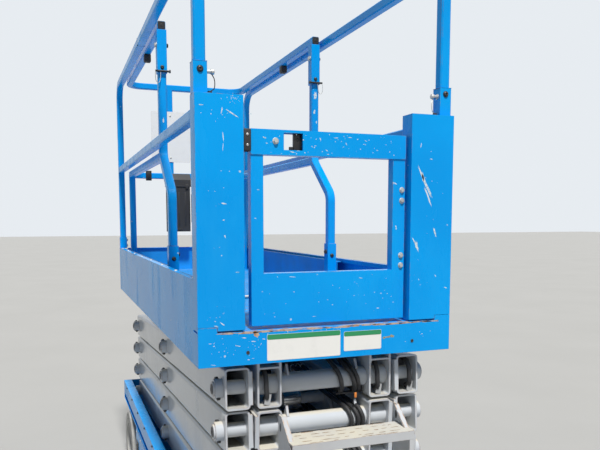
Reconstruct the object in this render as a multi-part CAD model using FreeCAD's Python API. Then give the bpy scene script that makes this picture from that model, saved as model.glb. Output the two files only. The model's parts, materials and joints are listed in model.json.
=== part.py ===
import FreeCAD, Part
import math
import os

from FreeCAD import Vector

# Narrow electric scissor lift with a slide-out platform, stowed on its wheels.
# X runs across the machine, +Y from the entry ladder to the steered wheels,
# +Z up from the floor. Lengths are in millimetres, angles in degrees.

# Overall machine
WIDTH = 810.0
LENGTH = 2440.0
LADDER_REACH = 164.0
PLATFORM_FRONT_SETBACK = 16.0
SIDE_SETBACK = 7.0

# Clearances
RUNNING_GAP = 5.0
ROW_GAP = 6.0
TYRE_CLEARANCE = 6.0
FIT_GAP = 0.5
SEAT_GAP = 0.3

# Sheet, plate and square tube
SHEET = 4.0
DECK_SHEET = 6.0
PLATE = 8.0
LUG_PLATE = 12.0
RAIL_TUBE = 33.0
TUBE_CORNER = 4.0
SLEEVE_WALL = 2.5

# Scissor stack
LEVELS = 4
PIN_SETBACK = 88.0
FRONT_PIN_SETBACK = 122.0
TOP_PIN_DROP = 180.0
RAISED_ANGLE = 62.0
ARM_WIDTH = 76.0
ARM_HEIGHT = 124.0
ARM_WALL = 6.0
ARM_CORNER = 12.0
ARM_END = 44.0
ARM_TRACK_GAP = 34.0
ARM_SIDE_GAP = 22.0
DOUBLER = 8.0
DOUBLER_LENGTH = 88.0
DOUBLER_HEIGHT = 100.0
PIN_RADIUS = 22.0
COLLAR_RADIUS = 29.0
COLLAR_LENGTH = 24.0
PIN_END_LENGTH = 5.0
CROSS_TUBE_RADIUS = 30.0
CROSS_LUG_X = 115.0
CROSS_LUG_REACH = 28.0
BOTTOM_ROLLER_RADIUS = 30.0
TOP_ROLLER_RADIUS = 27.0
ROLLER_WIDTH = 26.0
ROLLER_SIDE_GAP = 4.0

# Slide tracks
TRACK_WALL = 6.0
BOTTOM_TRACK_DEPTH = 45.0
TOP_TRACK_DEPTH = 44.0
TOP_TRACK_SIDE_GAP = 11.0
TRACK_END_ROOM = 39.0

# Lift cylinder
FOOT_SETBACK = 154.0
EYE_ALONG = 300.0
EYE_RISE = 100.0
EYE_PLATE_HALF = 110.0
EYE_PLATE_TOP_HALF = 28.0
EYE_PLATE_FOOT = 30.0
EYE_PAD_TOP = 54.0
FOOT_BAR_RADIUS = 26.0
FOOT_RING_WALL = 20.0
FOOT_RING_HALF = 38.0
EYE_BAR_RADIUS = 20.0
EYE_RING_WALL = 18.0
EYE_RING_HALF = 32.0
BARREL_RADIUS = 45.0
BARREL_END = 30.0
BORE_START = 80.0
GLAND_SETBACK = 124.0
GLAND_LENGTH = 60.0
GLAND_WALL = 5.0
PORT_ALONG = 150.0
PORT_RADIUS = 16.0
PORT_HEIGHT = 18.0
ROD_RADIUS = 31.0
ROD_START = 184.0

# Wheels and axles
REAR_OVERHANG = 295.0
FRONT_OVERHANG = 295.0
TYRE_RADIUS = 190.5
TYRE_WIDTH = 127.0
TYRE_SHOULDER = 16.0
SHOULDER_DROP = 9.0
RIM_RADIUS = 118.0
RIM_WALL = 8.0
RIM_INSET = 6.0
RIM_DISH = 50.0
DISC_THICKNESS = 12.0
HUB_RADIUS = 48.0
HUB_INNER_REACH = 4.0
HUB_OUTER_INSET = 40.0
CAP_RADIUS = 30.0
CAP_INSET = 26.0
AXLE_RADIUS = 25.0
AXLE_END_INSET = 52.0
BRAKE_RADIUS = 62.0
BRAKE_GAP = 10.0

# Chassis
WHEEL_TUB_GAP = 83.0
TUB_FRONT_SETBACK = 285.0
TUB_FLOOR_Z = 122.0
DECK_PLATE = 6.0
SPINE_HALF_WIDTH = 70.0
SPINE_FLOOR_Z = 150.0
SPINE_FOOT = 30.0
LADDER_FOOT_DEPTH = 62.0
BEAM_HEIGHT = 70.0
BEAM_SETBACK = 92.0
LUG_REACH = 36.0
RISER_INSET = 20.0
TIE_DOWN_RADIUS = 14.0
REAR_TIE_DOWN = (120.0, 225.0)
FRONT_TIE_DOWN = (40.0, 215.0)

# Steering
KINGPIN_INSET = 63.0
KINGPIN_RADIUS = 20.0
KINGPIN_BOSS_RADIUS = 32.0
BOSS_HALF_HEIGHT = 35.0
AXLE_ARM_HALF = 30.0
KNUCKLE_HALF_LENGTH = 35.0
YOKE_THICKNESS = 14.0
YOKE_TAIL = 36.0
YOKE_WHEEL_GAP = 14.0
STEER_ARM = 120.0
STEER_EYE_RADIUS = 16.0
TIE_PIN_RADIUS = 7.0
TIE_ROD_RADIUS = 9.0
TIE_EYE_RADIUS = 15.0
TIE_EYE_HALF = 12.0
TIE_ROD_Z = 122.0

# Module trays and pothole guards
TRAY_TUB_GAP = 10.0
TRAY_REAR_SETBACK = 405.0
TRAY_FRONT_SETBACK = 300.0
TRAY_FLOOR_Z = 155.0
TRAY_DECK_GAP = 7.0
TRAY_PIN_INSET = 20.0
TRAY_PIN_SETBACK = 17.0
TRAY_PIN_RADIUS = 10.0
TRAY_LUG_REACH = 16.0
TRAY_LUG_HEIGHT = 14.0
VENTS = 6
VENT_PITCH = 92.0
VENT_LENGTH = 66.0
VENT_HEIGHT = 9.0
VENT_Z = 345.0
LOAD_REAR_GAP = 100.0
BATTERY_FRONT_GAP = 295.0
BATTERY_HEIGHT = 171.0
HYDRAULIC_FRONT_GAP = 525.0
HYDRAULIC_HEIGHT = 181.0
GUARD_PIN_INSET = 26.0
GUARD_PIN_DROP = 17.0
GUARD_PIN_RADIUS = 6.0
GUARD_HINGE_RADIUS = 10.0
GUARD_DEPTH = 120.0
GUARD_REAR_GAP = 40.0
GUARD_FRONT_GAP = 25.0
GUARD_ARM = 10.0

# Platform
FASCIA_HEIGHT = 96.0
FASCIA_FOOT = 40.0
TAB_WIDTH = 56.0
TAB_HEIGHT = 11.0
TAB_SEAM = 1.0
TOE_HEIGHT = 149.0
FLANGE = 22.0
FLANGE_LIP = 16.0
RIB_COUNT = 7
RIB_DEPTH = 48.0
RIB_HALF_WIDTH = 20.0
RIB_END_GAP = 40.0
BRACKET_FRONT = 40.0
LEFT_COLUMN_WIDTH = 136.0
LEFT_COLUMN_HEIGHT = 655.0
RIGHT_COLUMN_WIDTH = 147.0
RIGHT_COLUMN_HEIGHT = 634.0
COLUMN_DEPTH = 58.0
COLUMN_GAP = 5.5
COLUMN_FOOT_INSET = 8.0
SOCKET_RISE = 86.0
SOCKET_SEAT = 10.0
RAIL_INSET = 21.0
RAIL_TOP = 1088.0
MID_RAIL = 608.0
RAIL_BEND = 95.0
REAR_POST_SETBACK = 37.0
POST_FOOT_HEIGHT = 64.0

# Gate
GATE_LEFT_GAP = 25.0
GATE_RIGHT_GAP = 10.0
GATE_BOTTOM = 11.0
GATE_TOP = 569.0
GATE_THICKNESS = 30.0
GATE_RECESS = 20.0
GATE_LEFT_STILE = 37.0
GATE_RIGHT_STILE = 42.0
GATE_HEAD = 71.0
HEAD_PROUD = 3.0
WINDOW_BOTTOM = 162.0
HAND_HOLE_X = 98.0
HAND_HOLE_WIDTH = 58.0
HAND_HOLE_HEIGHT = 48.0
HAND_HOLE_TOP = 8.0
GATE_PIN_GAP = 6.0
GATE_PIN_SETBACK = 12.0
GATE_PIN_RADIUS = 4.0
GATE_HINGES = (188.0, 385.0)
HINGE_WALL = 3.0
HINGE_HALF = 26.0
HINGE_LEAF_HALF = 12.0
HINGE_LEAF_REACH = 26.0
HINGE_LUG_REACH = 40.0
HINGE_GAP = 1.0

# Slide-out extension
EXTENSION_LENGTH = 1490.0
EXTENSION_SIDE_SETBACK = 47.0
EXTENSION_RISE = 8.0
EXTENSION_FLANGE = 16.0
EXTENSION_RAIL_TOP = 1095.0
EXTENSION_MID_RAIL = 577.0
POST_REAR_SETBACK = 24.0
POST_LEAN = 190.0
BEND_LOW = 420.0
BEND_HIGH = 575.0
POST_BEND = 60.0
EXTENSION_BEND = 80.0
EXTENSION_FRONT_SETBACK = 41.0
EXTENSION_SLEEVE_LENGTH = 171.0
EXTENSION_POST_INNER_X = -98.0
EXTENSION_FOOT_HEIGHT = 203.0
RUNNER_INSET = 52.0
RUNNER_HALF_WIDTH = 12.0
RUNNER_FRONT_GAP = 40.0

# Boxes on the extension's rails
CONTROL_X = (20.0, 190.0)
CONTROL_DEPTH = 120.0
CONTROL_TOP_DEPTH = 58.0
CONTROL_HEIGHT = 170.0
CONTROL_FACE_DROP = 82.0
CONTROL_BASE = 300.0
HOOK_THICKNESS = 5.0
HOOK_WIDTH = 28.0
HOOK_EDGE_GAP = 22.0
HOOK_LIP = 30.0
STOP_RADIUS = 17.0
STICK_RADIUS = 7.0
STICK_LENGTH = 62.0
KNOB_RADIUS = 15.0
SWITCH_RADIUS = 8.0
DOCUMENT_X = (-135.0, 10.0)
DOCUMENT_DEPTH = 56.0
DOCUMENT_BASE = 246.0
DOCUMENT_HEIGHT = 344.0
DOCUMENT_LID = 74.0
LID_PROUD = 4.0
BOX_CORNER = 9.0

# Entry ladder
LADDER_HALF_WIDTH = 187.0
LADDER_PLATE = 6.0
LADDER_TOP_DROP = 139.0
LADDER_BOTTOM_Z = 215.0
LADDER_HEAD_GAP = 47.0
LADDER_HEAD_DEPTH = 25.0
LADDER_SHOULDER_DROP = 80.0
LADDER_FLANGE = 15.0
LADDER_KNEE_RISE = 117.0
LADDER_KNEE_HEIGHT = 50.0
LADDER_FOOT_RISE = 60.0
LADDER_TOE_DEPTH = 20.0
TREAD_DROP = 53.0
TREAD_PITCH = 250.0
TREADS = 3
TREAD_DEPTH = 96.0
TREAD_LIP = 26.0

# Derived heights
HALF_WIDTH = WIDTH / 2
HALF_LENGTH = LENGTH / 2
HALF_TUBE = RAIL_TUBE / 2
HALF_SLEEVE = HALF_TUBE + FIT_GAP + SLEEVE_WALL
ROW_PITCH = ARM_HEIGHT + ROW_GAP
DECK_PLATE_Z = 2 * TYRE_RADIUS + TYRE_CLEARANCE
DECK_TOP_PLATE_Z = DECK_PLATE_Z + DECK_PLATE
BASE_PIN_Z = DECK_TOP_PLATE_Z + RUNNING_GAP + ARM_HEIGHT / 2
TOP_PIN_Z = BASE_PIN_Z + LEVELS * ROW_PITCH
DECK_Z = TOP_PIN_Z + TOP_PIN_DROP
FASCIA_BOTTOM_Z = DECK_Z - FASCIA_HEIGHT
RIB_BOTTOM_Z = DECK_Z - DECK_SHEET - RIB_DEPTH
RAIL_FOOT_Z = DECK_Z + max(LEFT_COLUMN_HEIGHT, RIGHT_COLUMN_HEIGHT) + RUNNING_GAP
LADDER_TOP_Z = FASCIA_BOTTOM_Z - LADDER_TOP_DROP
TRAY_TOP_Z = DECK_PLATE_Z - TRAY_DECK_GAP
GUARD_PIN_Z = TRAY_FLOOR_Z - GUARD_PIN_DROP

# Derived places along the machine
REAR_FACE_Y = LADDER_REACH - HALF_LENGTH
PLATFORM_FRONT_Y = HALF_LENGTH - PLATFORM_FRONT_SETBACK
COLUMN_BACK_Y = REAR_FACE_Y + COLUMN_DEPTH
POST_Y = REAR_FACE_Y + REAR_POST_SETBACK
PIN_REAR_Y = REAR_FACE_Y + PIN_SETBACK
PIN_FRONT_Y = PLATFORM_FRONT_Y - FRONT_PIN_SETBACK
PIN_SPAN = PIN_FRONT_Y - PIN_REAR_Y
ARM_LENGTH = math.hypot(PIN_SPAN, ROW_PITCH)
STOWED_ANGLE = math.degrees(math.atan2(ROW_PITCH, PIN_SPAN))
RAISED_SPAN = ARM_LENGTH * math.cos(math.radians(RAISED_ANGLE))
FOOT_ALONG = ARM_LENGTH - FOOT_SETBACK
REAR_AXLE_Y = REAR_OVERHANG - HALF_LENGTH
FRONT_AXLE_Y = HALF_LENGTH - FRONT_OVERHANG
TUB_FRONT_Y = FRONT_AXLE_Y - TUB_FRONT_SETBACK
REAR_PLATE_Y = LADDER_FOOT_DEPTH - HALF_LENGTH
TRAY_REAR_Y = REAR_AXLE_Y + TRAY_REAR_SETBACK
TRAY_FRONT_Y = FRONT_AXLE_Y - TRAY_FRONT_SETBACK
TRAY_PIN_Y = TRAY_REAR_Y + TRAY_PIN_SETBACK
GUARD_REAR_Y = TRAY_REAR_Y + GUARD_REAR_GAP
GUARD_FRONT_Y = TRAY_FRONT_Y - GUARD_FRONT_GAP
GATE_Y = REAR_FACE_Y + GATE_RECESS
GATE_PIN_Y = GATE_Y + GATE_THICKNESS + GATE_PIN_SETBACK
EXTENSION_REAR_Y = PLATFORM_FRONT_Y - EXTENSION_LENGTH
EXTENSION_FRONT_Y = PLATFORM_FRONT_Y - EXTENSION_FRONT_SETBACK
BOX_BACK_Y = EXTENSION_FRONT_Y - HALF_TUBE - SEAT_GAP
LADDER_HEAD_Y = REAR_FACE_Y - LADDER_HEAD_GAP

# Derived places across the machine
TRACK_OUT_X = HALF_WIDTH - SIDE_SETBACK
TRACK_IN_X = TRACK_OUT_X - BOTTOM_TRACK_DEPTH
OUTER_ARM_X = TRACK_IN_X - ARM_TRACK_GAP - ARM_WIDTH / 2
INNER_ARM_X = OUTER_ARM_X - ARM_WIDTH - ARM_SIDE_GAP
INNER_FACES = (INNER_ARM_X - ARM_WIDTH / 2, INNER_ARM_X + ARM_WIDTH / 2)
OUTER_FACES = (OUTER_ARM_X - ARM_WIDTH / 2, OUTER_ARM_X + ARM_WIDTH / 2)
TOP_TRACK_OUT_X = INNER_FACES[0] - TOP_TRACK_SIDE_GAP
TOP_TRACK_IN_X = TOP_TRACK_OUT_X - TOP_TRACK_DEPTH
WHEEL_IN_X = HALF_WIDTH - TYRE_WIDTH
TUB_HALF_WIDTH = WHEEL_IN_X - WHEEL_TUB_GAP
KINGPIN_X = WHEEL_IN_X - KINGPIN_INSET
TRAY_IN_X = TUB_HALF_WIDTH + TRAY_TUB_GAP
TRAY_PIN_X = TRACK_OUT_X - TRAY_PIN_INSET
GUARD_PIN_X = TRACK_OUT_X - GUARD_PIN_INSET
RAIL_X = HALF_WIDTH - RAIL_INSET
GATE_LEFT_X = LEFT_COLUMN_WIDTH + GATE_LEFT_GAP - HALF_WIDTH
GATE_RIGHT_X = HALF_WIDTH - RIGHT_COLUMN_WIDTH - GATE_RIGHT_GAP
GATE_PIN_X = HALF_WIDTH - RIGHT_COLUMN_WIDTH - GATE_PIN_GAP
EXTENSION_HALF_WIDTH = HALF_WIDTH - EXTENSION_SIDE_SETBACK
EXTENSION_POST_X = EXTENSION_HALF_WIDTH - SHEET - HALF_SLEEVE - SEAT_GAP
RUNNER_X = EXTENSION_HALF_WIDTH - RUNNER_INSET


def box(x0, x1, y0, y1, z0, z1):
    low = Vector(min(x0, x1), min(y0, y1), min(z0, z1))
    return Part.makeBox(abs(x1 - x0), abs(y1 - y0), abs(z1 - z0), low)


def rod_x(y, z, radius, x0, x1):
    return Part.makeCylinder(radius, abs(x1 - x0), Vector(min(x0, x1), y, z), Vector(1, 0, 0))


def rod_y(x, z, radius, y0, y1):
    return Part.makeCylinder(radius, abs(y1 - y0), Vector(x, min(y0, y1), z), Vector(0, 1, 0))


def rod_z(x, y, radius, z0, z1):
    return Part.makeCylinder(radius, abs(z1 - z0), Vector(x, y, min(z0, z1)), Vector(0, 0, 1))


def fuse(shapes):
    return shapes[0].multiFuse(shapes[1:]).removeSplitter() if len(shapes) > 1 else shapes[0]


def mirrored(shape):
    return shape.mirror(Vector(0, 0, 0), Vector(1, 0, 0))


def pair(shape):
    return [shape, mirrored(shape)]


def prism_x(points, x0, x1):
    """Extrude an outline of (y, z) points across the machine."""
    corners = [Vector(x0, y, z) for y, z in points]
    face = Part.Face(Part.makePolygon(corners + corners[:1]))
    return face.extrude(Vector(x1 - x0, 0, 0))


def tube_face(at, along, side, size):
    """Square face with flattened corners, standing across a run."""
    across = along.cross(side)
    half = size / 2
    flat = half - TUBE_CORNER
    corners = []
    for u, v in ((side, across), (across, side * -1), (side * -1, across * -1), (across * -1, side)):
        corners.append(at + u * half - v * flat)
        corners.append(at + u * half + v * flat)
    return Part.Face(Part.makePolygon(corners + corners[:1]))


def square_tube(points, side, bend=RAIL_BEND, size=RAIL_TUBE):
    """A square tube along runs in one plane, with an arc at each inner point."""
    nodes = [Vector(*point) for point in points]
    solids = []
    start = nodes[0]
    leaving = (nodes[1] - nodes[0]).normalize()
    for before, corner, after in zip(nodes, nodes[1:], nodes[2:]):
        arriving = (corner - before).normalize()
        leaving = (after - corner).normalize()
        turn = arriving.getAngle(leaving)
        cut = bend * math.tan(turn / 2)
        arc_start = corner - arriving * cut
        axis = arriving.cross(leaving).normalize()
        centre = arc_start + axis.cross(arriving).normalize() * bend
        solids.append(tube_face(start, arriving, side, size).extrude(arc_start - start))
        arc = tube_face(arc_start, arriving, side, size)
        solids.append(arc.revolve(centre, axis, math.degrees(turn)))
        start = corner + leaving * cut
    solids.append(tube_face(start, leaving, side, size).extrude(nodes[-1] - start))
    return fuse(solids)


def sleeve(x, y, z0, z1):
    """Square block the size of a sleeve round an upright post."""
    return box(x - HALF_SLEEVE, x + HALF_SLEEVE, y - HALF_SLEEVE, y + HALF_SLEEVE, z0, z1)


def rounded_bar(width, height, corner, length):
    """A bar along +Y from the origin, centred on X and Z, with round edges."""
    half_w = width / 2
    half_h = height / 2
    bar = Part.makeBox(width, length, height, Vector(-half_w, 0, -half_h))
    edges = [edge for edge in bar.Edges
             if abs(edge.Vertexes[0].Point.y - edge.Vertexes[1].Point.y) > length / 2]
    return bar.makeFillet(corner, edges)


def hollow_bar(length):
    """The arm's rectangular tube along +Y from the origin."""
    room = rounded_bar(ARM_WIDTH - 2 * ARM_WALL, ARM_HEIGHT - 2 * ARM_WALL,
                       ARM_CORNER - ARM_WALL, length)
    return rounded_bar(ARM_WIDTH, ARM_HEIGHT, ARM_CORNER, length).cut(room)


def save(name, shape):
    shape.exportStep("parts/" + name + ".step")


def arm_tube(x, doubler_x, clip_rear=False, clip_front=False):
    """One tube with doubler plates at its three pins, its rear pin at the origin."""
    tube = hollow_bar(ARM_LENGTH + 2 * ARM_END)
    tube.translate(Vector(x, -ARM_END, 0))
    solids = [tube]
    for y in (0.0, ARM_LENGTH / 2, ARM_LENGTH):
        solids.append(box(doubler_x, doubler_x + DOUBLER, y - DOUBLER_LENGTH / 2,
                          y + DOUBLER_LENGTH / 2, -DOUBLER_HEIGHT / 2, DOUBLER_HEIGHT / 2))
    arm = fuse(solids)
    reach = ARM_WIDTH
    for clipped, y0, y1 in ((clip_rear, -ARM_END, 0),
                            (clip_front, ARM_LENGTH, ARM_LENGTH + ARM_END)):
        if clipped:
            pin_y = 0 if y1 == 0 else ARM_LENGTH
            waste = box(x - reach, x + reach, y0, y1, -ARM_HEIGHT, ARM_HEIGHT)
            arm = arm.cut(waste.cut(rod_x(pin_y, 0, ARM_HEIGHT / 2, x - reach, x + reach)))
    return arm


def on_arm(shape, level, rising):
    """Put a shape modelled about its rear pin into the stowed stack."""
    rear_z = BASE_PIN_Z + ROW_PITCH * (level - 1 if rising else level)
    angle = STOWED_ANGLE if rising else -STOWED_ANGLE
    shape.rotate(Vector(0, 0, 0), Vector(1, 0, 0), angle)
    shape.translate(Vector(0, PIN_REAR_Y, rear_z))
    return shape


def cross_tube(y, z, reach):
    """A tube across the stack with two pointed guide lugs."""
    solids = [rod_x(y, z, CROSS_TUBE_RADIUS, -reach, reach)]
    foot = CROSS_TUBE_RADIUS / 2
    tip = z + CROSS_TUBE_RADIUS + CROSS_LUG_REACH
    outline = [(y - foot, z), (y - foot, z + CROSS_TUBE_RADIUS), (y, tip),
               (y + foot, z + CROSS_TUBE_RADIUS), (y + foot, z)]
    half = PLATE / 2
    solids.extend(pair(prism_x(outline, CROSS_LUG_X - half, CROSS_LUG_X + half)))
    return solids


def inner_arm(level):
    """Two inner tubes joined by bored cross tubes at their end pins."""
    inside, outside = INNER_FACES
    tubes = pair(arm_tube(INNER_ARM_X, outside, clip_rear=(level == 1)))
    solids = list(tubes)
    reach = outside + DOUBLER
    bores = [rod_x(ARM_LENGTH / 2, 0, PIN_RADIUS + FIT_GAP, -reach, reach)]
    solids.extend(pair(rod_x(ARM_LENGTH / 2, 0, CROSS_TUBE_RADIUS, inside, outside)))
    for y, crossing in ((0.0, level > 1), (ARM_LENGTH, level < LEVELS)):
        if crossing:
            solids.extend(cross_tube(y, 0, outside))
        else:
            solids.extend(pair(rod_x(y, 0, CROSS_TUBE_RADIUS, inside, outside)))
        if crossing or y == 0.0:
            bores.append(rod_x(y, 0, PIN_RADIUS + FIT_GAP, -reach, reach))
    if level == 1:
        solids.append(rod_x(FOOT_ALONG, 0, FOOT_BAR_RADIUS, -outside, outside))
    if level == 3:
        solids.extend(eye_bracket(inside))
    body = fuse(solids).cut(fuse(bores))
    if level == LEVELS:
        roller_out = TOP_TRACK_OUT_X - ROLLER_SIDE_GAP
        shaft = rod_x(ARM_LENGTH, 0, PIN_RADIUS, roller_out - ROLLER_WIDTH - ROLLER_SIDE_GAP, reach)
        roller = rod_x(ARM_LENGTH, 0, TOP_ROLLER_RADIUS, roller_out - ROLLER_WIDTH, roller_out)
        body = fuse([body] + pair(shaft) + pair(roller))
    return on_arm(body, level, rising=True)


def eye_bracket(inside):
    """Plates on the third inner arm that hold the bar for the rod's eye."""
    face = inside - RUNNING_GAP
    reach = EYE_RISE + EYE_BAR_RADIUS + PLATE
    plate = prism_x([(EYE_ALONG - EYE_PLATE_HALF, EYE_PLATE_FOOT),
                     (EYE_ALONG - EYE_PLATE_TOP_HALF, reach),
                     (EYE_ALONG + EYE_PLATE_TOP_HALF, reach),
                     (EYE_ALONG + EYE_PLATE_HALF, EYE_PLATE_FOOT)], face - LUG_PLATE, face)
    pad_half = EYE_PLATE_HALF - EYE_PLATE_FOOT
    pad = box(face, inside, EYE_ALONG - pad_half, EYE_ALONG + pad_half,
              EYE_PLATE_FOOT + SHEET, EYE_PAD_TOP)
    return pair(plate) + pair(pad) + [rod_x(EYE_ALONG, EYE_RISE, EYE_BAR_RADIUS, -face, face)]


def outer_arm(level):
    """Two outer tubes joined by the end shafts, with short centre pins."""
    inside, outside = OUTER_FACES
    solids = pair(arm_tube(OUTER_ARM_X, inside - DOUBLER, clip_front=(level == 1)))
    collar_end = outside + COLLAR_LENGTH
    head = collar_end + PIN_END_LENGTH
    for y in (0.0, ARM_LENGTH / 2, ARM_LENGTH):
        solids.extend(pair(rod_x(y, 0, COLLAR_RADIUS, outside, collar_end)))
    for y in (0.0, ARM_LENGTH):
        solids.append(rod_x(y, 0, PIN_RADIUS, -head, head))
    solids.extend(pair(rod_x(ARM_LENGTH / 2, 0, PIN_RADIUS, INNER_FACES[0], head)))
    if level == 1:
        x0 = TRACK_IN_X + ROLLER_SIDE_GAP
        solids.extend(pair(rod_x(ARM_LENGTH, 0, BOTTOM_ROLLER_RADIUS, x0, x0 + ROLLER_WIDTH)))
        solids.extend(pair(rod_x(ARM_LENGTH, 0, PIN_RADIUS, collar_end, x0 + ROLLER_WIDTH)))
    return on_arm(fuse(solids), level, rising=False)


def arm_point(level, along, rise):
    """World (y, z) of a point on a stowed inner arm."""
    angle = math.radians(STOWED_ANGLE)
    y = PIN_REAR_Y + along * math.cos(angle) - rise * math.sin(angle)
    z = BASE_PIN_Z + ROW_PITCH * (level - 1) + along * math.sin(angle) + rise * math.cos(angle)
    return y, z


def lift_cylinder():
    """Barrel and rod, modelled along +Y from the foot and then tilted."""
    foot_y, foot_z = arm_point(1, FOOT_ALONG, 0)
    eye_y, eye_z = arm_point(3, EYE_ALONG, EYE_RISE)
    reach = math.hypot(eye_y - foot_y, eye_z - foot_z)
    lean = math.degrees(math.atan2(eye_z - foot_z, eye_y - foot_y))
    barrel_end = reach - GLAND_SETBACK
    foot_ring = rod_x(0, 0, FOOT_BAR_RADIUS + FOOT_RING_WALL, -FOOT_RING_HALF, FOOT_RING_HALF)
    tube = rod_y(0, 0, BARREL_RADIUS, BARREL_END, barrel_end)
    gland = rod_y(0, 0, BARREL_RADIUS + GLAND_WALL, barrel_end - GLAND_LENGTH, barrel_end)
    port = rod_z(0, PORT_ALONG, PORT_RADIUS, 0, BARREL_RADIUS + PORT_HEIGHT)
    barrel = fuse([foot_ring, tube, gland, port])
    barrel = barrel.cut(rod_y(0, 0, ROD_RADIUS + FIT_GAP, BORE_START, barrel_end))
    barrel = barrel.cut(rod_x(0, 0, FOOT_BAR_RADIUS + FIT_GAP, -FOOT_RING_HALF, FOOT_RING_HALF))
    rod = fuse([rod_y(0, 0, ROD_RADIUS, ROD_START, reach - EYE_BAR_RADIUS / 2),
                rod_x(reach, 0, EYE_BAR_RADIUS + EYE_RING_WALL, -EYE_RING_HALF, EYE_RING_HALF)])
    rod = rod.cut(rod_x(reach, 0, EYE_BAR_RADIUS + FIT_GAP, -EYE_RING_HALF, EYE_RING_HALF))
    for shape in (barrel, rod):
        shape.rotate(Vector(0, 0, 0), Vector(1, 0, 0), lean)
        shape.translate(Vector(0, foot_y, foot_z))
    return barrel, rod


def slide_tracks():
    """Channels for the lowest rollers, each on the web it stands on."""
    half = BOTTOM_ROLLER_RADIUS + FIT_GAP
    y0 = REAR_PLATE_Y + PLATE
    y1 = HALF_LENGTH - PLATE
    outer = box(TRACK_IN_X, TRACK_OUT_X, y0, y1,
                BASE_PIN_Z - half - TRACK_WALL, BASE_PIN_Z + half + TRACK_WALL)
    inner = box(TRACK_IN_X, TRACK_OUT_X - TRACK_WALL, y0, y1,
                BASE_PIN_Z - half, BASE_PIN_Z + half)
    web_x = TRACK_IN_X + RISER_INSET
    riser = box(web_x, web_x + TRACK_WALL, y0, y1,
                DECK_TOP_PLATE_Z, BASE_PIN_Z - half - TRACK_WALL)
    return Part.makeCompound(pair(fuse([outer.cut(inner), riser])))


def chassis_frame():
    """Welded plate chassis: tub, front spine, deck plate and end plates."""
    side = TUB_HALF_WIDTH
    rear = REAR_PLATE_Y + PLATE
    front = HALF_LENGTH - PLATE
    track_top = BASE_PIN_Z + BOTTOM_ROLLER_RADIUS + FIT_GAP + TRACK_WALL
    solids = []
    solids.append(box(-side, side, rear, TUB_FRONT_Y, TUB_FLOOR_Z, TUB_FLOOR_Z + PLATE))
    solids.extend(pair(box(side - PLATE, side, rear, TUB_FRONT_Y, TUB_FLOOR_Z, DECK_PLATE_Z)))
    solids.append(box(-side, side, TUB_FRONT_Y - PLATE, TUB_FRONT_Y, TUB_FLOOR_Z, DECK_PLATE_Z))
    solids.append(box(-TRACK_OUT_X, TRACK_OUT_X, rear, front, DECK_PLATE_Z, DECK_TOP_PLATE_Z))
    spine = SPINE_HALF_WIDTH
    solids.extend(pair(box(spine - PLATE, spine, TUB_FRONT_Y, front, SPINE_FLOOR_Z,
                           DECK_PLATE_Z)))
    solids.append(box(-spine, spine, TUB_FRONT_Y, front, SPINE_FLOOR_Z, SPINE_FLOOR_Z + PLATE))
    for y0, y1, foot, floor in ((front, HALF_LENGTH, spine + SPINE_FOOT, SPINE_FLOOR_Z),
                                (REAR_PLATE_Y, rear, side, TUB_FLOOR_Z)):
        solids.append(box(-TRACK_OUT_X, TRACK_OUT_X, y0, y1, DECK_PLATE_Z, track_top))
        solids.append(box(-foot, foot, y0, y1, floor, DECK_PLATE_Z))
    solids.extend(base_pivots(rear))
    solids.extend(guard_brackets())
    for x in (TRAY_PIN_X, -TRAY_PIN_X):
        solids.append(rod_z(x, TRAY_PIN_Y, TRAY_PIN_RADIUS, TRAY_FLOOR_Z - SHEET, DECK_PLATE_Z))
    holes = []
    for place, y0, y1 in ((REAR_TIE_DOWN, REAR_PLATE_Y, rear),
                          (FRONT_TIE_DOWN, front, HALF_LENGTH)):
        x, z = place
        holes.extend(pair(rod_y(x, z, TIE_DOWN_RADIUS, y0, y1)))
    return fuse(solids).cut(fuse(holes))


def base_pivots(rear):
    """Rear cross member with lugs and pins for the lowest inner arm."""
    beam_top = DECK_TOP_PLATE_Z + BEAM_HEIGHT
    beam = box(-TRACK_IN_X, TRACK_IN_X, rear, PIN_REAR_Y - BEAM_SETBACK,
               DECK_TOP_PLATE_Z, beam_top)
    solids = [beam]
    inside, outside = INNER_FACES
    front = PIN_REAR_Y + LUG_REACH
    top = BASE_PIN_Z + LUG_REACH
    corner = LUG_REACH / 2
    outline = [(rear, DECK_TOP_PLATE_Z), (front, DECK_TOP_PLATE_Z), (front, top - corner),
               (front - corner, top), (PIN_REAR_Y - LUG_REACH, top), (rear, beam_top)]
    outer_x = outside + DOUBLER + RUNNING_GAP
    inner_x = inside - RUNNING_GAP - LUG_PLATE
    for x0 in (outer_x, inner_x):
        solids.extend(pair(prism_x(outline, x0, x0 + LUG_PLATE)))
    pin = rod_x(PIN_REAR_Y, BASE_PIN_Z, PIN_RADIUS, inner_x - SHEET, outer_x + LUG_PLATE)
    solids.extend(pair(pin))
    return solids


def guard_brackets():
    """Arms under the trays that carry the pothole guard hinge pins."""
    solids = []
    for y0 in (GUARD_REAR_Y - PLATE - GUARD_ARM, GUARD_FRONT_Y + PLATE):
        y1 = y0 + GUARD_ARM
        arm = box(TUB_HALF_WIDTH, GUARD_PIN_X + LUG_PLATE, y0, y1, TUB_FLOOR_Z + SHEET / 2,
                  TRAY_FLOOR_Z - RUNNING_GAP)
        bore = rod_y(GUARD_PIN_X, GUARD_PIN_Z, GUARD_PIN_RADIUS + FIT_GAP, y0, y1)
        solids.extend(pair(arm.cut(bore)))
    return solids


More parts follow.
